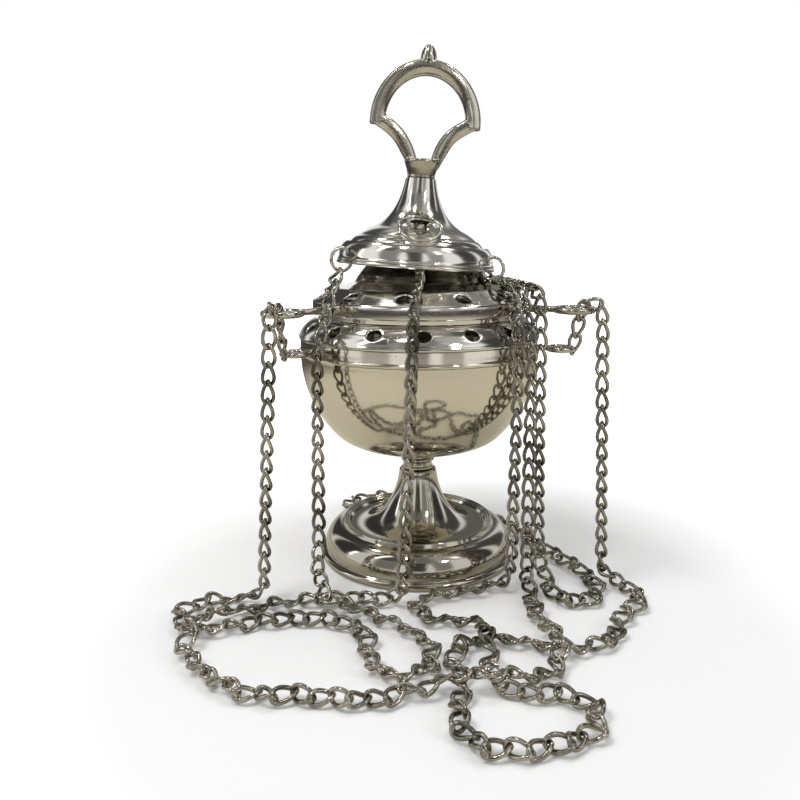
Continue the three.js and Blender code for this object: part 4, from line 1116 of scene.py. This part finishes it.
FERRULE_HEIGHT = 6.4
FERRULE_RADIUS = 6.9
BOW_RADIUS = 20.2
BOW_TALL = 22.3  # and its radius upwards
BOW_HEIGHT = 22.4
BOW_BAR = 6.4
BOW_DEPTH = 6.8
ARM_BAR = 5.7
BUD_RADIUS = 3.4
BUD_HEIGHT = 7.3


def ridge(across, deep):
    """A bar's section with a low ridge between two fine grooves on its outer and inner faces."""
    quarter = [(0.5, 0.16), (0.4, 0.36), (0.2, 0.44)]
    half = [*quarter, (0, 0.5), *((-x, y) for x, y in reversed(quarter))]
    return [(x * across * s, y * deep * s) for s in (1, -1) for x, y in half]


def make_handle():
    top = BELL_HEIGHT - BELL_DROP
    middle = top + BOW_HEIGHT
    neck = top + FERRULE_HEIGHT
    turns = [math.radians(-3 + 186 * i / 60) for i in range(61)]
    line = [(0.3 + BOW_RADIUS * math.cos(a), 0, middle + BOW_TALL * math.sin(a)) for a in turns]
    parts = [swept(line, ridge(BOW_BAR, BOW_DEPTH))]
    # Points of an arm: way out from the middle, shift towards +X, height
    arm = [
        (4.4, 0.6, neck - 1.4), (5.5, 0.6, neck + 1.6), (7.3, 0.4, middle - 10.6),
        (9.9, 0.2, middle - 6.3), (13.2, 0.2, middle - 3.0), (17.8, 0.2, middle),
        (21.3, 0.2, middle + 1.9),
    ]
    for side in (1, -1):
        line = smooth_line([(side * out + shift, 0, height) for out, shift, height in arm])
        grown = [min(1.0, 0.75 + 0.25 * i / 12) for i in range(len(line))]
        parts.append(swept(line, ridge(ARM_BAR, BOW_DEPTH * 0.86), sizes=grown))
    ferrule = [
        (0, top + GAP), (FERRULE_RADIUS - 0.8, top + GAP), (FERRULE_RADIUS - 1.1, top + 1.2),
        (FERRULE_RADIUS - 0.4, top + 4.2), (FERRULE_RADIUS + 0.7, neck + 0.6),
        (FERRULE_RADIUS + 0.2, neck + 1.5), (0, neck + 0.8),
    ]
    foot = middle + BOW_TALL + BOW_BAR / 2 - 1.4
    bud = [
        (0, 0), (BUD_RADIUS - 0.2, 0.2), (BUD_RADIUS, BUD_HEIGHT * 0.3),
        (BUD_RADIUS - 0.4, BUD_HEIGHT * 0.55), (BUD_RADIUS - 1.1, BUD_HEIGHT * 0.77),
        (BUD_RADIUS - 2.1, BUD_HEIGHT * 0.94), (0, BUD_HEIGHT),
    ]
    shank = moved(drill_of(2.5, top + 2, 32), move_by(0, 0, (top + 2) / 2))
    parts += [turned(ferrule, 48), shank, moved(turned(bud, 40), move_by(0, 0, foot))]
    whole = temporary("handle_work", joined(*parts))
    cast = whole.modifiers.new("cast", "REMESH")
    cast.mode = "VOXEL"
    cast.voxel_size = 0.36
    soft = whole.modifiers.new("soft", "SMOOTH")
    soft.factor = 0.5
    soft.iterations = 3
    fewer = whole.modifiers.new("fewer", "DECIMATE")
    fewer.ratio = 0.35
    mesh = applied(whole)
    mesh.transform(CAPPED)
    finish_piece("bow_handle", mesh, CAST_PLATE, "cap", "handle", 60)


def make_rings():
    radius, swing = CAP_RING["radius"], math.radians(RING_HOLE["swing"])
    ring = moved(hoop(radius, CAP_RING["wire"], 56), turn_by(90, "X"))
    reach = MOUTH_RADIUS - RING_HOLE["inset"] + radius * math.sin(swing)
    height = -BELL_DROP + RING_HOLE["height"] - radius * math.cos(swing)
    for side, angle in SIDES.items():
        place = CAPPED @ move_by(*polar(reach, angle, height)) @ turn_by(angle, "Z")
        name = f"cap_ring_{side}"
        add_piece(f"{name}_wire", ring, place, RING_WIRE, f"ring_{side}", name)
    size = PULL_RING
    pitch = size["wire"] * 2 + 0.2
    steps = range(48 * size["turns"] + 1)
    coil = [polar(size["radius"], 360 * i / 48, pitch * i / 48 + 0.1) for i in steps]
    part = swept(coil, round_section(size["wire"], 12), up=(0, 0, 1))
    middle = polar(size["reach"], 270, -BELL_DROP + size["height"])
    place = CAPPED @ move_by(*middle) @ turn_by(size["tilt"], "X")
    add_piece("pull_ring_wire", part, place, RING_WIRE, "pull", "pull_ring")


make_bell()
make_handle()
make_rings()
for hidden in ("tie_bolt", "tie_washer", "tie_nut", "handle_washer", "handle_nut"):
    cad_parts[hidden].material_slots[0].material = IRON

# Studio


def add_sheet(name, corners, material, only_glossy=False):
    mesh = mesh_of(name, (corners, [tuple(range(len(corners)))]))
    mesh.materials.append(material)
    sheet = new_object(name, mesh)
    if only_glossy:
        for kind in ("camera", "diffuse", "shadow", "transmission"):
            setattr(sheet, f"visible_{kind}", False)
    return sheet


def distance_from(tree, place):
    links = {0: object_place(tree), 1: place}
    return add_node(tree, "VectorMath", links, operation="DISTANCE").outputs["Value"]


def shader_mix(tree, share, first, second):
    return add_node(tree, "MixShader", {0: share, 1: first.outputs[0], 2: second.outputs[0]})


def square(half):
    return [(-half, -half, 0), (half, -half, 0), (half, half, 0), (-half, half, 0)]


GROUND_MIDDLE = (0.0, -0.08, 0.0)  # round which the ground grows whiter for the camera
# Painted dark reflection: the ground that the metal sees darkens away from this middle
DARK_REFLECTION_MIDDLE = (0.04, -0.2, 0.0)  # round which it grows darker for the metal


def make_floor():
    """A pale warm ground, white to the camera and whiter with distance, that keeps the shadows; to
    the metal it turns dark with distance, a painted dark reflection.
    """
    material, tree = new_material("ground")
    warm = tree.nodes["Principled BSDF"]
    warm.inputs["Base Color"].default_value = (0.70, 0.66, 0.54, 1)
    warm.inputs["Roughness"].default_value = 0.9
    path = add_node(tree, "LightPath").outputs
    # Painted dark reflection: from 0.4 to 0.66 m out, the ground turns dark for glossy rays only
    shade = add_node(tree, "BsdfDiffuse", {"Color": (0.13, 0.12, 0.11, 1)})
    dark_reflection_share = mapped(tree, distance_from(tree, DARK_REFLECTION_MIDDLE), 0.4, 0.66)
    dark_reflection_share = maths(tree, "MULTIPLY", dark_reflection_share, path["Is Glossy Ray"])
    whiter = mapped(tree, distance_from(tree, GROUND_MIDDLE), 0.12, 0.42, 0.07, 1.0)
    lift = add_node(tree, "Emission", {"Color": (1, 1, 1, 1), "Strength": whiter})
    white = add_node(tree, "BsdfDiffuse", {"Color": (0.88, 0.88, 0.88, 1)})
    lifted = add_node(tree, "AddShader", {0: white.outputs[0], 1: lift.outputs[0]})
    unseen = shader_mix(tree, dark_reflection_share, warm, shade)
    set_look(tree, shader_mix(tree, path["Is Camera Ray"], unseen, lifted))
    add_sheet("ground", square(6.0), material)


def painted_reflection_material(tone):
    """A flat glowing tone for a painted reflection, that fades out towards the edges of a sheet two
    units wide.
    """
    material, tree = new_material(f"card {tone}")
    tree.nodes.remove(tree.nodes["Principled BSDF"])
    parts = add_node(tree, "SeparateXYZ", {0: object_place(tree)}).outputs
    sides = []
    for axis in ("X", "Y"):
        links = {0: maths(tree, "ABSOLUTE", parts[axis]), 1: 1.0, 2: 0.55, 3: 0.0, 4: 1.0}
        side = add_node(tree, "MapRange", links, interpolation_type="SMOOTHSTEP")
        sides.append(side.outputs[0])
    clear = add_node(tree, "BsdfTransparent")
    painted_glow = add_node(tree, "Emission", {"Color": (1, 0.98, 0.94, 1), "Strength": tone})
    set_look(tree, shader_mix(tree, maths(tree, "MULTIPLY", *sides), clear, painted_glow))
    return material


CARDS_ROUND = Vector((0, 0, 0.12))
# Painted reflections: glowing sheets, dark and bright, that only the metal sees
# Azimuth, height above the horizon, distance in metres, half width, half height, tone
PAINTED_SCREENS = [
    (0, 90, 1.25, 0.9, 0.9, 0.27), (-68, 24, 1.2, 0.3, 0.74, 0.34),
    (70, 71, 1.15, 0.3, 0.15, 0.8), (-165, 58, 1.1, 0.15, 0.15, 2.6),
    (-15, 58, 1.1, 0.15, 0.13, 2.6), (95, 62, 1.1, 0.3, 0.06, 2.2),
    (90, 82, 1.1, 0.3, 0.03, 2.2), (-80, 80, 1.1, 0.26, 0.04, 1.8),
    (-160, 44, 1.1, 0.07, 0.22, 3.4), (172, 20, 1.1, 0.05, 0.3, 3.0),
    (-36, 48, 1.1, 0.09, 0.16, 2.2),
]
# Azimuth, half width and tone of the painted wall reflections' parts, by height above the horizon
# and half height
PAINTED_WALLS = {
    (24, 0.74): [
        (-99, 0.3, 0.08), (-138, 0.42, 0.28), (-208, 0.5, 0.06), (-12, 0.45, 0.06), (30, 0.42, 0.1),
        (72, 0.44, 0.18), (112, 0.42, 0.06),
    ],
    (56, 0.5): [
        (-99, 0.5, 0.24), (-150, 0.4, 0.12), (-48, 0.34, 0.5), (8, 0.44, 0.1), (68, 0.5, 0.2),
        (132, 0.5, 0.1),
    ],
}
# Azimuth, height above the horizon, half width and half height of the painted glints: small sheets
# that glow at tone 40 for the metal only, no lamps
PAINTED_GLINTS = [
    (-122, 64, 0.04, 0.09), (-60, 40, 0.03, 0.09), (150, 60, 0.06, 0.06), (40, 55, 0.05, 0.05)
]


def make_painted_reflections():
    """Painted reflections that only the metal sees: glowing sheets, dark ones for the walls and
    ceiling of a room, bright ones for its windows and lamps.
    """
    tones = {}
    cards = PAINTED_SCREENS + [(azimuth, rise, 1.1, wide, tall, 40) for azimuth, rise, wide, tall in PAINTED_GLINTS]
    for (rise, tall), walls in PAINTED_WALLS.items():
        cards += [(azimuth, rise, 1.25, wide, tall, tone) for azimuth, wide, tone in walls]
    for i, (azimuth, rise, reach, wide, tall, tone) in enumerate(cards):
        if tone not in tones:
            tones[tone] = painted_reflection_material(tone)
        painted_reflection = add_sheet(f"card_{i}", square(1), tones[tone], only_glossy=True)
        way = polar(math.cos(math.radians(rise)), azimuth, math.sin(math.radians(rise)))
        turn = (-way).to_track_quat("Z", "Y").to_matrix().to_4x4()
        size = Matrix.Diagonal((wide, tall, 1, 1))
        painted_reflection.matrix_world = move_by(*(CARDS_ROUND + way * reach)) @ turn @ size


LAMPS_AIM = Vector((0, 0, 0.09))


def add_lamp(name, place, size, power):
    data = bpy.data.lights.new(name, "AREA")
    data.shape = "RECTANGLE"
    data.size, data.size_y = size
    data.energy = power
    lamp = new_object(name, data)
    lamp.location = place
    lamp.rotation_euler = (LAMPS_AIM - Vector(place)).to_track_quat("-Z", "Y").to_euler()
    lamp.visible_glossy = False


def make_world():
    world = bpy.data.worlds.new("studio")
    bpy.context.scene.world = world
    world.use_nodes = True
    tree = world.node_tree
    background = tree.nodes["Background"]
    path = add_node(tree, "LightPath").outputs
    seen = maths(tree, "MAXIMUM", path["Is Camera Ray"], path["Is Glossy Ray"])
    seen = maths(tree, "MAXIMUM", seen, path["Is Transmission Ray"])
    tree.links.new(mapped(tree, seen, 0.0, 1.0, 0.42, 1.0), background.inputs["Strength"])
    background.inputs["Color"].default_value = (1, 1, 1, 1)


make_floor()
make_painted_reflections()
make_world()
add_lamp("key", (-0.5, -0.2, 0.95), (0.5, 0.5), 5.2)
add_lamp("fill", (0.8, -0.45, 0.6), (0.35, 0.5), 2.0)
add_lamp("over", (0.15, 0.25, 0.95), (0.6, 0.4), 1.6)
bpy.context.scene.view_settings.view_transform = "Standard"
